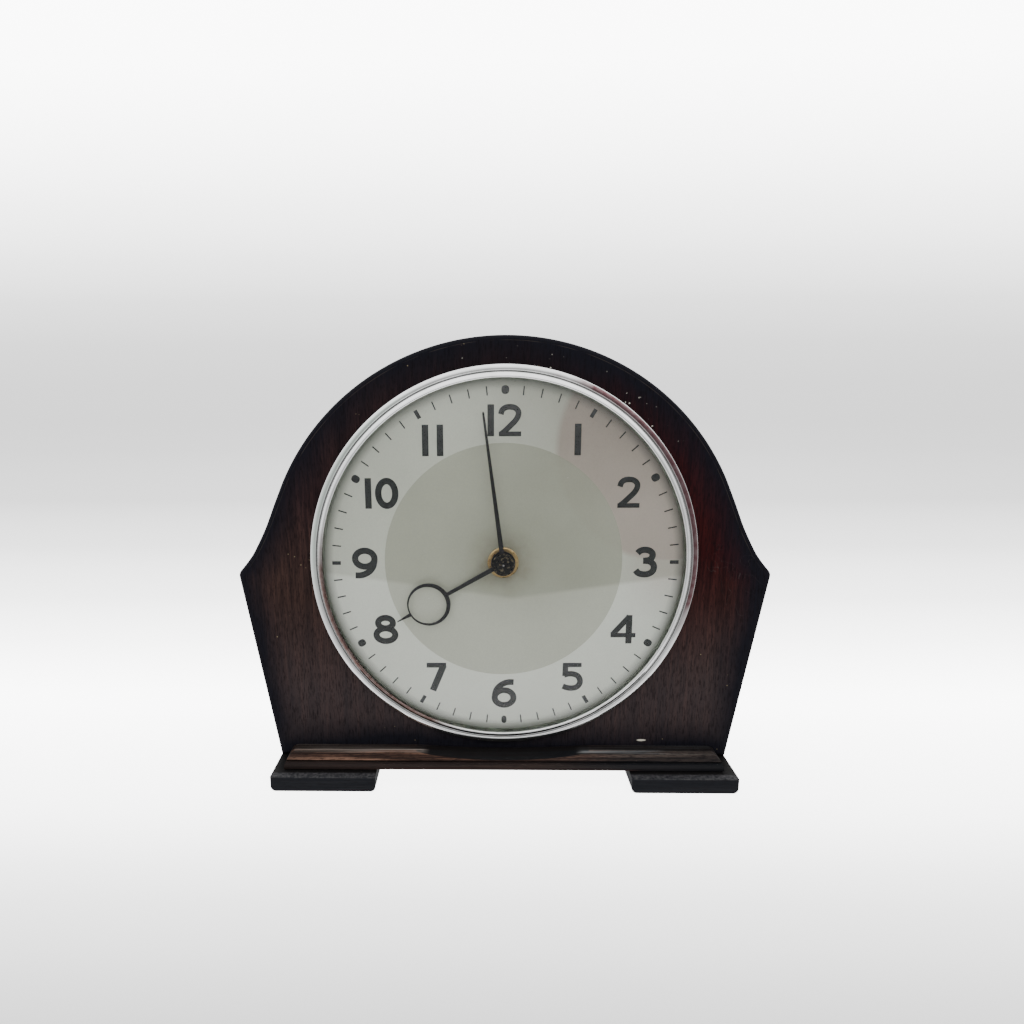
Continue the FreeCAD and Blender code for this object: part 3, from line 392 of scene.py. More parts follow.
def dial_material(name, colour, shade, rough, metallic):
    """Silvered paint with clouding, specks, a brown stain round the centre, painted reflections of the glass and
    painted shade towards the rim.
    """
    d = Mat(name)
    far, _ = d.from_dial()
    cloud = d.noise(d.coord, 22, 4)
    base = d.mix(d.span(cloud, 0.35, 0.7), colour, shade)
    grain = d.span(d.noise(d.coord, 1700, 2, 0.7), 0.3, 0.7)
    base = d.mix(grain, base, d.mix(1.0, base, (0.93, 0.93, 0.93), "MULTIPLY"))
    x = d.axis(d.coord, 0)
    z = d.axis(d.coord, 2)
    # painted reflection: a pink tint over the upper right of the dial, weaker inside the chapter ring
    blush = d.length(d.mapped(scale=(1, 0, 1), location=(-0.066, 0, -0.137)))
    side = d.math("MULTIPLY", d.span(x, 0.046, 0.062), d.span(z, 0.068, 0.088))
    pink_reflection = d.math("MAXIMUM", d.span(blush, 0.0465, 0.0440), d.math("MULTIPLY", side, 0.6))
    pink_reflection = d.math("MULTIPLY", pink_reflection, d.span(far, 0.0477, 0.0482, 0.16, 1.0))
    base = d.mix(pink_reflection, base, d.mix(1.0, base, (0.78, 0.665, 0.67), "MULTIPLY"))
    # painted reflection: the upper right and a patch round the middle are darkened, standing for the glass's darker
    # reflections
    corner = d.math("MULTIPLY", d.span(x, -0.008, 0.020), d.span(z, 0.112, 0.148))
    base = d.mix(corner, base, d.mix(1.0, base, (0.76, 0.745, 0.735), "MULTIPLY"))
    heart = d.length(d.mapped(scale=(1, 0, 1), location=(-0.010, 0, -0.096)))
    base = d.mix(d.span(heart, 0.036, 0.012), base, d.mix(1.0, base, (0.84, 0.84, 0.825), "MULTIPLY"))
    halo = d.span(far, 0.0045, 0.0170, 1.0, 0.0)
    patch = d.span(d.noise(d.coord, 130, 3), 0.30, 0.70, 0.25, 1.0)
    base = d.mix(d.math("MULTIPLY", d.math("MULTIPLY", halo, patch), 0.62), base, (0.20, 0.165, 0.10))
    specks = d.span(d.voronoi(d.coord, 420), 0.02, 0.06, 0.75, 0.0)
    rare = d.span(d.noise(d.coord, 60, 2), 0.70, 0.72)
    base = d.mix(d.math("MULTIPLY", specks, rare), base, (0.10, 0.085, 0.06))
    pale = d.span(d.voronoi(d.mapped(location=(0.3, 0.2, 0.1)), 240), 0.02, 0.06, 0.7, 0.0)
    few = d.span(d.noise(d.mapped(location=(0.5, 0.1, 0.9)), 70, 2), 0.63, 0.66)
    base = d.mix(d.math("MULTIPLY", pale, few), base, (0.85, 0.85, 0.82))
    # painted reflection: above a line some 15 mm below the centre the dial is darkened, cloudily at the left, so the
    # lower part reads paler
    hollow = d.math("ADD", z, d.math("MULTIPLY", d.math("ABSOLUTE", d.math("ADD", x, -0.004)), -0.14))
    above = d.span(hollow, 0.0755, 0.0772)
    base = d.mix(d.math("MULTIPLY", above, 0.9), base, d.mix(1.0, base, (0.765, 0.765, 0.735), "MULTIPLY"))
    reflection_veil = d.math("MULTIPLY", d.span(d.noise(d.coord, 14, 2), 0.42, 0.62), d.span(x, -0.025, 0.0))
    base = d.mix(d.math("MULTIPLY", reflection_veil, above), base, d.mix(1.0, base, (0.90, 0.90, 0.885), "MULTIPLY"))
    # painted shade: the dial darkens towards the rim, where the bezel shades it
    rim_shade = d.span(far, 0.0686, 0.0732)
    base = d.mix(d.math("MULTIPLY", rim_shade, 0.82), base, (0.085, 0.095, 0.085))
    d.to("Base Color", base)
    d.to("Roughness", d.span(d.noise(d.coord, 500, 3), 0.3, 0.7, rough - 0.05, rough + 0.07))
    d.to("Normal", d.bump(d.noise(d.coord, 2600, 2), 0.04, 0.00003))
    d.set(Metallic=metallic, Specular_IOR_Level=0.3)
    return d


MAT["dial_ring"] = dial_material("dial_silver_ring", (0.86, 0.90, 0.80), (0.82, 0.86, 0.755), 0.34, 0.20)
MAT["dial_middle"] = dial_material("dial_grey_middle", (0.590, 0.615, 0.510), (0.560, 0.585, 0.480),
                                   0.45, 0.08)

ink = Mat("dial_ink")
ink.to("Base Color", ink.mix(ink.span(ink.noise(ink.coord, 900, 4), 0.4, 0.75), (0.022, 0.025, 0.025),
                             (0.034, 0.038, 0.037)))
ink.set(Roughness=0.6, Specular_IOR_Level=0.15)
MAT["ink"] = ink


# ------------------------------------------------------------------ mesh helpers
def make(name, verts, faces, body, material, angle=35, replaces=(), slot=None):
    """verts are metres in the row frame; material may be a list, with faces giving (indices, slot)."""
    mats = material if isinstance(material, list) else [material]
    mesh = bpy.data.meshes.new(name)
    plain = [f[0] if isinstance(f[0], (list, tuple)) else f for f in faces]
    mesh.from_pydata([tuple(v) for v in verts], [], plain)
    for k, f in enumerate(faces):
        if isinstance(f[0], (list, tuple)):
            mesh.polygons[k].material_index = f[1]
    for m in mats:
        mesh.materials.append(MAT[m].m)
    bm = bmesh.new()
    bm.from_mesh(mesh)
    bmesh.ops.remove_doubles(bm, verts=bm.verts, dist=2e-8)
    bmesh.ops.recalc_face_normals(bm, faces=bm.faces)
    bm.to_mesh(mesh)
    bm.free()
    obj = bpy.data.objects.new(name, mesh)
    bpy.context.scene.collection.objects.link(obj)
    mesh.shade_smooth()
    mesh.set_sharp_from_angle(angle=math.radians(angle))
    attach(obj, body)
    if replaces:
        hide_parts(*replaces)
    return obj


def lathe(name, profile, steps, body, material, centre=(0.0, 0.0), **more):
    """Closed (radius, y) profile turned about an axis along Y."""
    verts, faces = [], []
    count = len(profile)
    for k in range(steps):
        a = 2 * math.pi * k / steps
        for r, y in profile:
            verts.append(at(centre[0] + r * math.sin(a), y, centre[1] + r * math.cos(a)))
    for k in range(steps):
        for j in range(count):
            a, b = k * count + j, k * count + (j + 1) % count
            c, d = ((k + 1) % steps) * count + (j + 1) % count, ((k + 1) % steps) * count + j
            faces.append((a, b, c, d))
    return make(name, verts, faces, body, material, **more)


def arc_points(p0, p1, p2, count):
    """Points on the circle through three points, from the first to the last."""
    (ax, ay), (bx, by), (cx, cy) = p0, p1, p2
    d = 2 * (ax * (by - cy) + bx * (cy - ay) + cx * (ay - by))
    aa, bb, cc = ax * ax + ay * ay, bx * bx + by * by, cx * cx + cy * cy
    ux = (aa * (by - cy) + bb * (cy - ay) + cc * (ay - by)) / d
    uy = (aa * (cx - bx) + bb * (ax - cx) + cc * (bx - ax)) / d
    r = math.hypot(ax - ux, ay - uy)
    a0 = math.atan2(ay - uy, ax - ux)
    a1 = math.atan2(by - uy, bx - ux)
    a2 = math.atan2(cy - uy, cx - ux)
    turn = (a2 - a0) % (2 * math.pi)
    if (a1 - a0) % (2 * math.pi) > turn:
        turn -= 2 * math.pi
    return [(ux + r * math.cos(a0 + turn * k / count), uy + r * math.sin(a0 + turn * k / count))
            for k in range(count + 1)]


def smooth_path(points, per=8):
    """Catmull-Rom curve through points."""
    out = []
    pts = [points[0]] + list(points) + [points[-1]]
    for k in range(1, len(pts) - 2):
        p0, p1, p2, p3 = (Vector(pts[k + j]) for j in (-1, 0, 1, 2))
        for s in range(per):
            t = s / per
            out.append(0.5 * ((2 * p1) + (p2 - p0) * t + (2 * p0 - 5 * p1 + 4 * p2 - p3) * t * t
                              + (3 * p1 - p0 - 3 * p2 + p3) * t ** 3))
    out.append(Vector(points[-1]))
    return [(v[0], v[1]) for v in out]


# ------------------------------------------------------------------ case outline
# mm about the dial centre: the arch's radius, centre and end angle, then the hollow flank, the pointed
# shoulder and the bottom corner
ARCH_R, ARCH_Z, ARCH_END = 97.4, -8.65, 65.0
FLANK = [(92.15, 23.6), (96.17, 14.09), (100.94, 4.97), (103.93, 0.56)]
FLANK_END = 46.4
SHOULDER = (108.3, -4.6)
FOOT = (95.2, -84.85)


def half_outline(inset):
    """Right half of the case outline from the apex to the bottom corner, in mm about the dial centre."""
    pts = []
    r = ARCH_R - inset
    for k in range(65):
        a = math.radians(ARCH_END * k / 64)
        pts.append((r * math.sin(a), ARCH_Z + r * math.cos(a)))
    a = math.radians(ARCH_END)
    start = (ARCH_R * math.sin(a), ARCH_Z + ARCH_R * math.cos(a))
    chain = [start] + FLANK + [SHOULDER]
    flank = [pts[-1]]
    for p, h, n in zip(chain, chain[1:], chain[2:]):
        run = math.hypot(n[0] - p[0], n[1] - p[1])
        flank.append((h[0] + inset * (n[1] - p[1]) / run, h[1] - inset * (n[0] - p[0]) / run))
    taper = math.hypot(SHOULDER[0] - FOOT[0], SHOULDER[1] - FOOT[1])
    side_in = (-(SHOULDER[1] - FOOT[1]) / taper, (SHOULDER[0] - FOOT[0]) / taper)
    end = math.radians(FLANK_END)
    flank_in = (-math.sin(end), -math.cos(end))
    share = inset / (1 + side_in[0] * flank_in[0] + side_in[1] * flank_in[1])
    corner = (SHOULDER[0] + share * (side_in[0] + flank_in[0]),
              SHOULDER[1] + share * (side_in[1] + flank_in[1]))
    flank.append(corner)
    curve = smooth_path(flank, 10)
    foot_z = FOOT[1] + inset
    foot_x = corner[0] - (corner[1] - foot_z) * (SHOULDER[0] - FOOT[0]) / (SHOULDER[1] - FOOT[1])
    # the shoulder is softened with a small arc
    round_off = 1.5
    before, after = curve[-3], (foot_x, foot_z)
    d0 = Vector((before[0] - corner[0], before[1] - corner[1])).normalized() * round_off
    d1 = Vector((after[0] - corner[0], after[1] - corner[1])).normalized() * round_off
    body = [p for p in curve[1:-1] if math.dist(p, corner) > round_off * 1.2]
    pts += body
    for k in range(7):
        t = k / 6
        tip_point = Vector(corner)
        b = (tip_point + d0) * (1 - t) ** 2 + tip_point * 2 * t * (1 - t) + (tip_point + d1) * t * t
        pts.append((b[0], b[1]))
    last = pts[-1]
    for k in range(1, 41):
        t = k / 40
        pts.append((last[0] + (foot_x - last[0]) * t, last[1] + (foot_z - last[1]) * t))
    return pts


def full_outline(inset):
    """Whole outline, clockwise from the apex, with the bottom edge filled in."""
    right = half_outline(inset)
    x, z = right[-1]
    bottom = [(x - 2 * x * k / 80, z) for k in range(1, 80)]
    left = [(-p[0], p[1]) for p in reversed(right[1:])]
    return right + bottom + left


# ------------------------------------------------------------------ front panel
def front_panel():
    """The front board, with its round opening and softened rim. Each point keeps its distance to the outline."""
    outer = full_outline(0.0)
    count = len(outer)
    hole_r = 76.0
    front, back = -1.0, 8.5
    rings = []
    # from the hole outwards across the front face
    spread = 26
    soft = 1.7
    inner_edge = full_outline(soft)
    for k in range(spread + 1):
        t = k / spread
        ring = []
        for p in inner_edge:
            a = math.atan2(p[0], p[1])
            h = (hole_r * math.sin(a), hole_r * math.cos(a))
            ring.append((h[0] + (p[0] - h[0]) * t, front, h[1] + (p[1] - h[1]) * t))
        rings.append(ring)
    # rounded rim
    for k in range(1, 7):
        a = math.pi / 2 * k / 6
        out = math.sin(a)
        down = soft * (1 - math.cos(a))
        rings.append([(q[0] + (p[0] - q[0]) * out, front + down * 0.9, q[1] + (p[1] - q[1]) * out)
                      for p, q in zip(outer, inner_edge)])
    for y in (2.5, 5.5, back):
        rings.append([(p[0], y, p[1]) for p in outer])
    rings.append([(hole_r * math.sin(math.atan2(p[0], p[1])), back, hole_r * math.cos(math.atan2(p[0], p[1])))
                  for p in inner_edge])
    verts = [at(*v) for ring in rings for v in ring]
    faces = []
    total = len(rings)
    for j in range(total):
        for k in range(count):
            a, b = j * count + k, j * count + (k + 1) % count
            c, d = ((j + 1) % total) * count + (k + 1) % count, ((j + 1) % total) * count + k
            faces.append((a, b, c, d))
    obj = make("wood_front_panel", verts, faces, "case", "panel", angle=40, replaces=["front_panel"],
               slot="dark_walnut")
    # how far each point is from the outline: the stain is darker there, and a highlight line is painted just inside the
    # rim
    attr = obj.data.attributes.new("edge", "FLOAT", "POINT")
    gap = obj.data.attributes.new("away", "FLOAT", "POINT")
    starts = [Vector(p) for p in outer]
    spans = [(a, b - a, (b - a).length_squared) for a, b in zip(starts, starts[1:] + starts[:1])]
    for v in obj.data.vertices:
        x, z = v.co.x / MM, v.co.z / MM - DIAL_Z
        here = Vector((x, z))
        away = 99.0
        for a, d, square in spans:
            t = max(0.0, min(1.0, (here - a).dot(d) / square)) if square else 0.0
            away = min(away, (here - a - d * t).length)
        low = (z + 80.5) / 21.0
        gap.data[v.index].value = away if v.co.y < at(0, 1.0, 0).y else 9.0
        attr.data[v.index].value = max(0.0, min(1.0, min(away / 22.0, low)))
    return obj


front_panel()


# ------------------------------------------------------------------ bezel, glass, sight ring
bezel_profile = [(78.2, -1.0)] + arc_points((78.2, -1.55), (78.0, -2.2), (77.55, -2.5), 8)
bezel_profile += arc_points((77.55, -2.5), (76.8, -2.74), (76.0, -2.82), 8)[1:]
bezel_profile += [(75.78, -2.72), (75.62, -2.3), (75.48, -2.25)]
bezel_profile += arc_points((75.42, -2.35), (74.55, -3.45), (73.45, -3.95), 12)
bezel_profile += [(73.15, -3.85), (73.0, -3.5)]
bezel_profile += [(73.0, -3.08), (74.75, -2.55), (74.75, 9.3), (75.7, 9.3), (75.7, -1.0)]
lathe("chrome_bezel", bezel_profile, 360, "case", "chrome", angle=50, replaces=["bezel"], slot="chrome")

RISE, EDGE_R, THICK = 11.0, 74.6, 1.6
dome = (EDGE_R ** 2 + RISE ** 2) / (2 * RISE)
middle_y = -2.5 - RISE + dome
back_r = math.sqrt((dome - THICK) ** 2 - (middle_y + 0.9) ** 2)
glass_profile = [(EDGE_R * k / 40, middle_y - math.sqrt(dome ** 2 - (EDGE_R * k / 40) ** 2))
                 for k in range(41)]
glass_profile += [(EDGE_R, -0.9)]
glass_profile += [(back_r * k / 40, middle_y - math.sqrt((dome - THICK) ** 2 - (back_r * k / 40) ** 2))
                  for k in range(40, -1, -1)]
lathe("domed_glass", glass_profile, 256, "case", "glass", angle=40, replaces=["glass"], slot="glass")

ring_profile = [(72.6, -0.9), (72.6, -0.1), (72.8, 0.0), (74.6, 0.0), (74.6, -0.9)]
lathe("sight_ring_wall", ring_profile, 256, "case", "ring", replaces=["sight_ring"], slot="dark_ring")


# ------------------------------------------------------------------ dial
def dial():
    """Pressed disc: a light chapter ring and a slightly darker middle, with a rolled edge."""
    profile = [(3.6, 0.8), (3.6, 0.05), (3.7, 0.0), (20, 0.0), (34, 0.0), (48.0, 0.0), (55.0, 0.0),
               (63.0, 0.0), (70.0, 0.0), (74.4, 0.0), (74.6, 0.15), (74.6, 0.8), (40.0, 0.8)]
    steps, count = 256, len(profile)
    verts, faces = [], []
    for k in range(steps):
        a = 2 * math.pi * k / steps
        for r, y in profile:
            verts.append(at(r * math.sin(a), y, r * math.cos(a)))
    for k in range(steps):
        n = (k + 1) % steps
        for j in range(count):
            i = (j + 1) % count
            slot = 1 if j < 5 or j >= 12 else 0
            faces.append(((k * count + j, k * count + i, n * count + i, n * count + j), slot))
    return make("dial_face", verts, faces, "case", ["dial_ring", "dial_middle"], replaces=["dial_plate"],
                slot="dial")


dial()

PRINT_TOP = -0.060      # printing stands this far in front of the dial, mm


def ribbon(points, width, close=False):
    """Flat stroke of even width with square ends, as (outline left, outline right)."""
    pts = [Vector(p) for p in points]
    n = len(pts)
    left, right = [], []
    for k, p in enumerate(pts):
        if close:
            before, after = pts[(k - 1) % n], pts[(k + 1) % n]
        else:
            before, after = pts[max(k - 1, 0)], pts[min(k + 1, n - 1)]
        d0 = (p - before).normalized() if (p - before).length > 1e-9 else (after - p).normalized()
        d1 = (after - p).normalized() if (after - p).length > 1e-9 else d0
        side = Vector((-(d0 + d1).y, (d0 + d1).x)).normalized()
        reach = width / 2 / max(0.5, side.dot(Vector((-d0.y, d0.x))))
        left.append(p + side * reach)
        right.append(p - side * reach)
    return left, right


def printed(x, z, y):
    """The printing sits a touch to the right of the middle and a hair askew."""
    roll = math.radians(0.15)
    return (x * math.cos(roll) - z * math.sin(roll) + 0.6, y, x * math.sin(roll) + z * math.cos(roll))


class Print:
    """Collects flat printed strokes into one thin mesh."""

    def __init__(self):
        self.verts, self.faces, self.layer = [], [], 0

    def strip(self, left, right, close=False):
        self.layer = (self.layer + 1) % 4
        front = PRINT_TOP - 0.004 * self.layer
        base = len(self.verts)
        n = len(left)
        for y in (front, -0.002):
            for side in (left, right):
                self.verts += [at(*printed(p.x, p.y, y)) for p in side]
        fl, fr, bl, br = base, base + n, base + 2 * n, base + 3 * n
        last = n if close else n - 1
        for k in range(last):
            m = (k + 1) % n
            self.faces += [(fl + k, fl + m, fr + m, fr + k), (bl + k, br + k, br + m, bl + m),
                           (fl + k, bl + k, bl + m, fl + m), (fr + k, fr + m, br + m, br + k)]
        if not close:
            for k in (0, n - 1):
                self.faces.append((fl + k, fr + k, br + k, bl + k))

    def stroke(self, points, width, centre=(0, 0), close=False, curve=False):
        pts = smooth_path(points, 8) if curve else points
        pts = [(p[0] + centre[0], p[1] + centre[1]) for p in pts]
        self.strip(*ribbon(pts, width, close), close)

    def blob(self, centre, length, width, clock):
        """Filled pill shape pointing along a clock angle."""
        a = math.radians(clock)
        along, across = Vector((math.sin(a), math.cos(a))), Vector((math.cos(a), -math.sin(a)))
        n = 20
        left, right = [], []
        for k in range(n + 1):
            t = -1 + 2 * k / n
            half = width / 2 * max(0.0, 1 - abs(t) ** 2.6) ** (1 / 2.2)
            p = Vector(centre) + along * (t * length / 2)
            left.append(p + across * max(half, 0.02))
            right.append(p - across * max(half, 0.02))
        self.strip(left, right)


def oval(cx, cz, rx, rz, count=48):
    return [(cx + rx * math.sin(2 * math.pi * k / count), cz + rz * math.cos(2 * math.pi * k / count))
            for k in range(count)]


STROKE = 2.55           # width of a numeral's strokes, mm
THIN = 1.85             # width of its level strokes
NUMERAL_R = 56.7        # the numerals' middles stand on this circle
BLOB_R = 68.3           # and the ten-minute dots on this one
TRACK = (66.5, 70.0)    # ends of the minute strokes


def digit(p, figure, c):
    """Strokes of one numeral about its centre c."""
    if figure == "0":
        p.stroke(oval(0, 0, 3.4, 4.95), STROKE, c, close=True)
    elif figure == "1":
        p.stroke([(0, 6.1), (0, -6.1)], STROKE, c)
    elif figure == "2":
        p.stroke([(-3.75, 2.3), (-3.2, 3.9), (-1.9, 4.85), (-0.2, 5.1), (1.6, 4.75), (2.9, 3.6), (3.05, 2.0),
                  (2.1, 0.1), (0.2, -1.9), (-1.9, -3.9), (-3.4, -5.15)], 2.2, c, curve=True)
        p.stroke([(-4.5, -5.25), (4.2, -5.25)], THIN, c)
    elif figure == "3":
        p.stroke([(-3.3, 3.7), (-2.2, 4.7), (-0.4, 5.1), (1.5, 4.7), (2.7, 3.5), (2.5, 1.9), (1.3, 0.85),
                  (-0.9, 0.6)], STROKE, c, curve=True)
        p.stroke([(-0.9, 0.6), (1.5, 0.35), (3.1, -0.8), (3.5, -2.3), (2.9, -3.9), (1.2, -4.9), (-0.8, -5.05),
                  (-2.7, -4.5), (-3.8, -3.3)], STROKE, c, curve=True)
    elif figure == "4":
        p.stroke([(2.2, 5.6), (-4.6, -2.3)], STROKE * 0.9, c)
        p.stroke([(-5.3, -2.5), (4.9, -2.5)], THIN, c)
        p.stroke([(2.1, 6.1), (2.1, -6.1)], STROKE, c)
    elif figure == "5":
        p.stroke([(-3.9, 5.2), (3.9, 5.2)], THIN, c)
        p.stroke([(-2.75, 6.1), (-2.9, 0.3)], 2.3, c)
        p.stroke([(-3.3, 0.75), (-1.6, 1.25), (0.5, 1.2), (2.4, 0.35), (3.35, -1.4), (3.15, -3.2), (1.9, -4.6),
                  (-0.2, -5.05), (-2.2, -4.8), (-3.8, -4.2)], 2.4, c, curve=True)
    elif figure == "6":
        p.stroke(oval(0, -1.75, 3.95, 3.3), STROKE, c, close=True)
        p.stroke([(4.0, 5.15), (2.2, 5.2), (0.3, 4.75), (-1.8, 3.5), (-3.3, 1.5), (-3.95, -1.4)], STROKE, c,
                 curve=True)
    elif figure == "7":
        p.stroke([(-4.05, 5.1), (4.1, 5.1)], 2.1, c)
        p.stroke([(3.0, 5.0), (-1.6, -6.1)], STROKE * 1.1, c)
    elif figure == "8":
        p.stroke(oval(0, 2.8, 3.05, 2.25), STROKE, c, close=True)
        p.stroke(oval(0, -2.3, 3.9, 2.75), STROKE, c, close=True)
    elif figure == "9":
        p.stroke(oval(0, 1.75, 3.95, 3.3), STROKE, c, close=True)
        p.stroke([(-4.0, -5.15), (-2.2, -5.2), (-0.3, -4.75), (1.8, -3.5), (3.3, -1.5), (3.95, 1.4)], STROKE, c,
                 curve=True)


def numerals():
    p = Print()
    spots = {1: [("1", 0)], 2: [("2", 0)], 3: [("3", 0)], 4: [("4", 0)], 5: [("5", 0)], 6: [("6", 0)],
             7: [("7", 0)], 8: [("8", 0)], 9: [("9", 0)], 10: [("1", -5.25), ("0", 2.15)],
             11: [("1", -2.9), ("1", 2.9)], 12: [("1", -5.6), ("2", 2.05)]}
    for hour, figures in spots.items():
        a = math.radians(30 * hour)
        for figure, dx in figures:
            digit(p, figure, (NUMERAL_R * math.sin(a) + dx, NUMERAL_R * math.cos(a)))
    return make("dial_numerals", p.verts, p.faces, "case", "ink", angle=30, slot="blued_steel")


def minute_marks():
    p = Print()
    for minute in range(60):
        a = math.radians(6 * minute)
        d = (math.sin(a), math.cos(a))
        if minute % 10 == 0:
            p.blob((BLOB_R * d[0], BLOB_R * d[1]), 3.4, 2.2 if minute == 30 else 3.0, 6 * minute)
            continue
        width = 1.5 if minute % 5 == 0 else 0.5
        p.stroke([(r * d[0], r * d[1]) for r in TRACK], width)
    return make("dial_minute_marks", p.verts, p.faces, "case", "ink", angle=30, slot="blued_steel")


numerals()
minute_marks()

# ------------------------------------------------------------------ CAD nodes that keep their shape
LOOK = {
    "case_top": "shell", "left_side": "shell", "right_side": "shell", "base_board": "shell",
    "glue_blocks": "raw", "back_board": "ply", "base_moulding": "rail", "left_foot": "foot",
    "right_foot": "foot", "back_board_screws": "screw", "foot_screws": "screw", "clip_screws": "screw",
    "cover_screws": "screw", "pillar_screws": "steel", "pillars": "steel", "bezel_clips": "brass",
    "retaining_ring": "brass", "centre_collar": "brass", "dial_feet": "brass", "front_plate": "brass",
    "back_plate": "brass", "dust_cover": "cover", "click_spring": "spring", "hairspring": "spring",
    "mainspring": "spring", "centre_arbor": "axle", "cannon_pinion": "steel", "minute_hand": "hand",
    "minute_hand_cap": "cap", "hour_hand": "hand", "hand_set_knob": "brass", "friction_spring": "brass",
    "hour_wheel": "brass", "minute_wheel": "brass", "centre_pinion": "steel", "centre_wheel": "brass",
    "intermediate_arbor": "steel", "intermediate_wheel": "brass", "barrel": "brass", "barrel_cap": "brass",
    "third_arbor": "steel", "third_wheel": "brass", "fourth_arbor": "steel", "fourth_wheel": "brass",
    "escape_arbor": "steel", "escape_wheel": "brass", "pallet_lever": "brass", "balance_staff": "steel",
    "balance_wheel": "brass", "barrel_arbor": "steel", "ratchet_wheel": "steel", "winding_key": "brass",
    "click": "steel", "regulator_lever": "brass",
}
SOFT_EDGE = {"base_moulding": 0.25, "left_foot": 0.35, "right_foot": 0.35, "winding_key": 0.35,
             "dust_cover": 0.2, "hour_hand": 0.06, "minute_hand": 0.05, "minute_hand_cap": 0.1, "regulator_lever": 0.15}
for node, look in LOOK.items():
    obj = NODES[node]
    obj.data.materials.clear()
    obj.data.materials.append(MAT[look].m)
    if node in SOFT_EDGE:
        bevel = obj.modifiers.new("soft_edges", "BEVEL")
        bevel.width = SOFT_EDGE[node] * MM
        bevel.segments = 2
        bevel.limit_method = "ANGLE"
        bevel.angle_limit = math.radians(30)
        bevel.harden_normals = False

# ------------------------------------------------------------------ stage, light, camera
def stage():
    """Pale floor that sweeps up into a pale wall, with a painted glow: its emission is brightest round the clock."""
    profile = [(-1.6, 0.0), (-0.6, 0.0), (-0.3, 0.0), (0.0, 0.0), (0.3, 0.0), (0.8, 0.0), (1.6, 0.0)]
    for k in range(1, 25):
        a = math.pi / 2 * k / 24
        profile.append((1.6 + 0.8 * math.sin(a), 0.8 * (1 - math.cos(a))))
    profile.append((2.4, 3.0))
    xs = [-3.0 + 0.5 * k for k in range(13)]
    verts = [(x, y, z) for y, z in profile for x in xs]
    faces = []
    for j in range(len(profile) - 1):
        for k in range(len(xs) - 1):
            a = j * len(xs) + k
            faces.append((a, a + 1, a + 1 + len(xs), a + len(xs)))
    mesh = bpy.data.meshes.new("studio_sweep")
    mesh.from_pydata(verts, [], faces)
    mesh.shade_smooth()
    obj = bpy.data.objects.new("studio_sweep", mesh)
    bpy.context.scene.collection.objects.link(obj)
    m = Mat("studio_paper")
    along = m.math("ADD", m.axis(m.coord, 1), m.axis(m.coord, 2))
    # painted light: the paper's brightness comes from an emission ramp along the sweep, not from the lamps
    glow = [(-0.30, 0.03), (-0.156, 0.07), (-0.10, 0.25), (-0.05, 0.55), (0.055, 0.86), (0.15, 0.54),
            (0.25, 0.33), (0.45, 0.17), (0.77, 0.080), (1.20, 0.070), (1.61, 0.062), (1.96, 0.062),
            (2.25, 0.078), (2.50, 0.105), (2.73, 0.165), (2.93, 0.27), (3.14, 0.43), (3.55, 0.92), (3.80, 1.0)]
    ramp = m.ramp(m.span(along, -0.4, 4.0), *[((u + 0.4) / 4.4, v) for u, v in glow])
    m.to("Base Color", m.mix(m.noise(m.coord, 3, 2), (0.50, 0.50, 0.50), (0.52, 0.52, 0.52)))
    m.to("Emission Color", ramp)
    m.set(Roughness=0.9, Emission_Strength=9.6, Specular_IOR_Level=0.1)
    mesh.materials.append(m.m)
    obj.visible_diffuse = False
    obj.visible_glossy = False
    obj.visible_transmission = False


stage()


def panel_light(name, place, aim, size, size_y, power, colour=(1, 1, 1)):
    data = bpy.data.lights.new(name, "AREA")
    data.shape = "RECTANGLE"
    data.size, data.size_y = size, size_y
    data.energy = power
    data.color = colour
    obj = bpy.data.objects.new(name, data)
    bpy.context.scene.collection.objects.link(obj)
    obj.location = place
    obj.rotation_euler = (Vector(aim) - Vector(place)).to_track_quat("-Z", "Y").to_euler()
    obj.visible_glossy = False
    obj.visible_transmission = False
    return obj


panel_light("top_soft", (0.0, 0.0, 1.5), (0, 0, 0), 1.6, 1.2, 3)
panel_light("left_soft", (-1.2, -0.8, 0.7), (0, 0, 0.08), 1.0, 1.2, 1.2)
panel_light("right_soft", (1.2, -0.8, 0.7), (0, 0, 0.08), 1.0, 1.2, 0.8, (1.0, 0.98, 0.97))
panel_light("front_soft", (0.1, -1.6, 0.7), (0, 0, 0.1), 1.4, 0.7, 1.2)
panel_light("back_soft", (0.0, 1.3, 1.1), (0, 0, 0.1), 1.2, 0.8, 4)

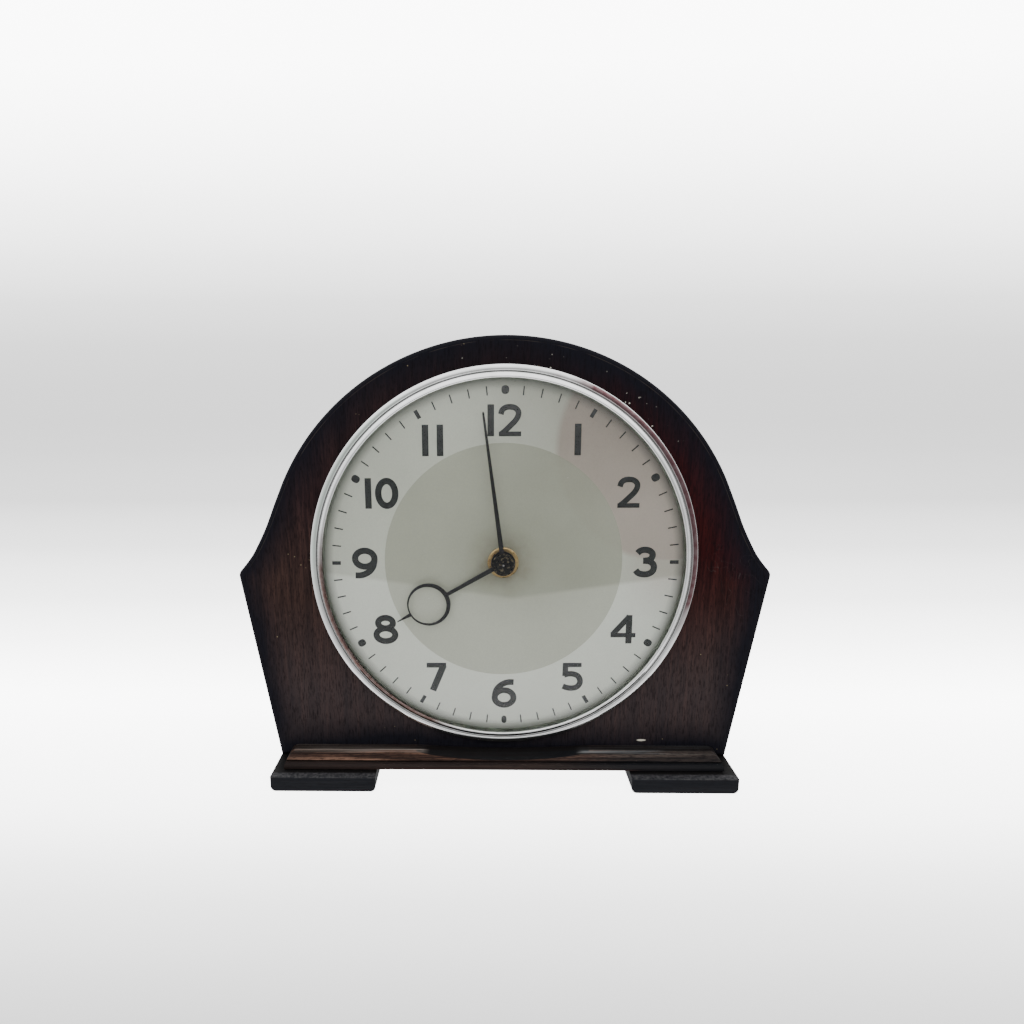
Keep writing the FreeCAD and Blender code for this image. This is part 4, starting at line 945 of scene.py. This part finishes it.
world = bpy.data.worlds.new("pale_room")
bpy.context.scene.world = world
world.use_nodes = True
sky = world.node_tree
direction = sky.nodes.new("ShaderNodeTexCoord").outputs["Generated"]
split = sky.nodes.new("ShaderNodeSeparateXYZ")
sky.links.new(direction, split.inputs[0])


def sky_ramp(source, low, high, stops):
    """Grey ramp over one component of the direction, with stops as (value, grey)."""
    span = sky.nodes.new("ShaderNodeMapRange")
    span.inputs["From Min"].default_value = low
    span.inputs["From Max"].default_value = high
    sky.links.new(source, span.inputs["Value"])
    ramp = sky.nodes.new("ShaderNodeValToRGB")
    while len(ramp.color_ramp.elements) < len(stops):
        ramp.color_ramp.elements.new(0.5)
    for element, (value, grey) in zip(ramp.color_ramp.elements, stops):
        element.position = (value - low) / (high - low)
        element.color = (grey, grey, grey, 1)
    sky.links.new(span.outputs["Result"], ramp.inputs["Fac"])
    return ramp.outputs["Color"]


upright = sky_ramp(split.outputs[2], -1, 1,
                   [(-1.0, 1.0), (-0.75, 0.88), (-0.52, 0.42), (-0.38, 0.33), (-0.15, 0.21), (0.12, 0.20),
                    (0.30, 0.38), (0.48, 0.80), (0.70, 1.0)])
sides = sky_ramp(split.outputs[0], -1, 1,
                 [(-0.95, 0.60), (-0.80, 0.25), (-0.40, 0.0), (0.45, 0.0), (0.80, 0.12), (0.95, 0.30)])
total = sky.nodes.new("ShaderNodeMix")
total.data_type = "RGBA"
total.blend_type = "SCREEN"
total.inputs[0].default_value = 1.0
sky.links.new(upright, total.inputs[6])
sky.links.new(sides, total.inputs[7])
back = sky.nodes["Background"]
sky.links.new(total.outputs[2], back.inputs["Color"])
back.inputs["Strength"].default_value = 2.3

cam_data = bpy.data.cameras.new("photo_camera")
cam_data.sensor_width = 36.0
cam_data.lens = 27.14
cam_data.shift_x = 0.0461
cam_data.shift_y = 0.0500
cam_data.clip_start = 0.01
cam_data.clip_end = 30.0
cam = bpy.data.objects.new("photo_camera", cam_data)
bpy.context.scene.collection.objects.link(cam)
cam.location = (-0.00896, -0.32391, 0.16233)
cam.rotation_euler = (math.radians(76.846), math.radians(0.286), math.radians(1.168))
bpy.context.scene.camera = cam
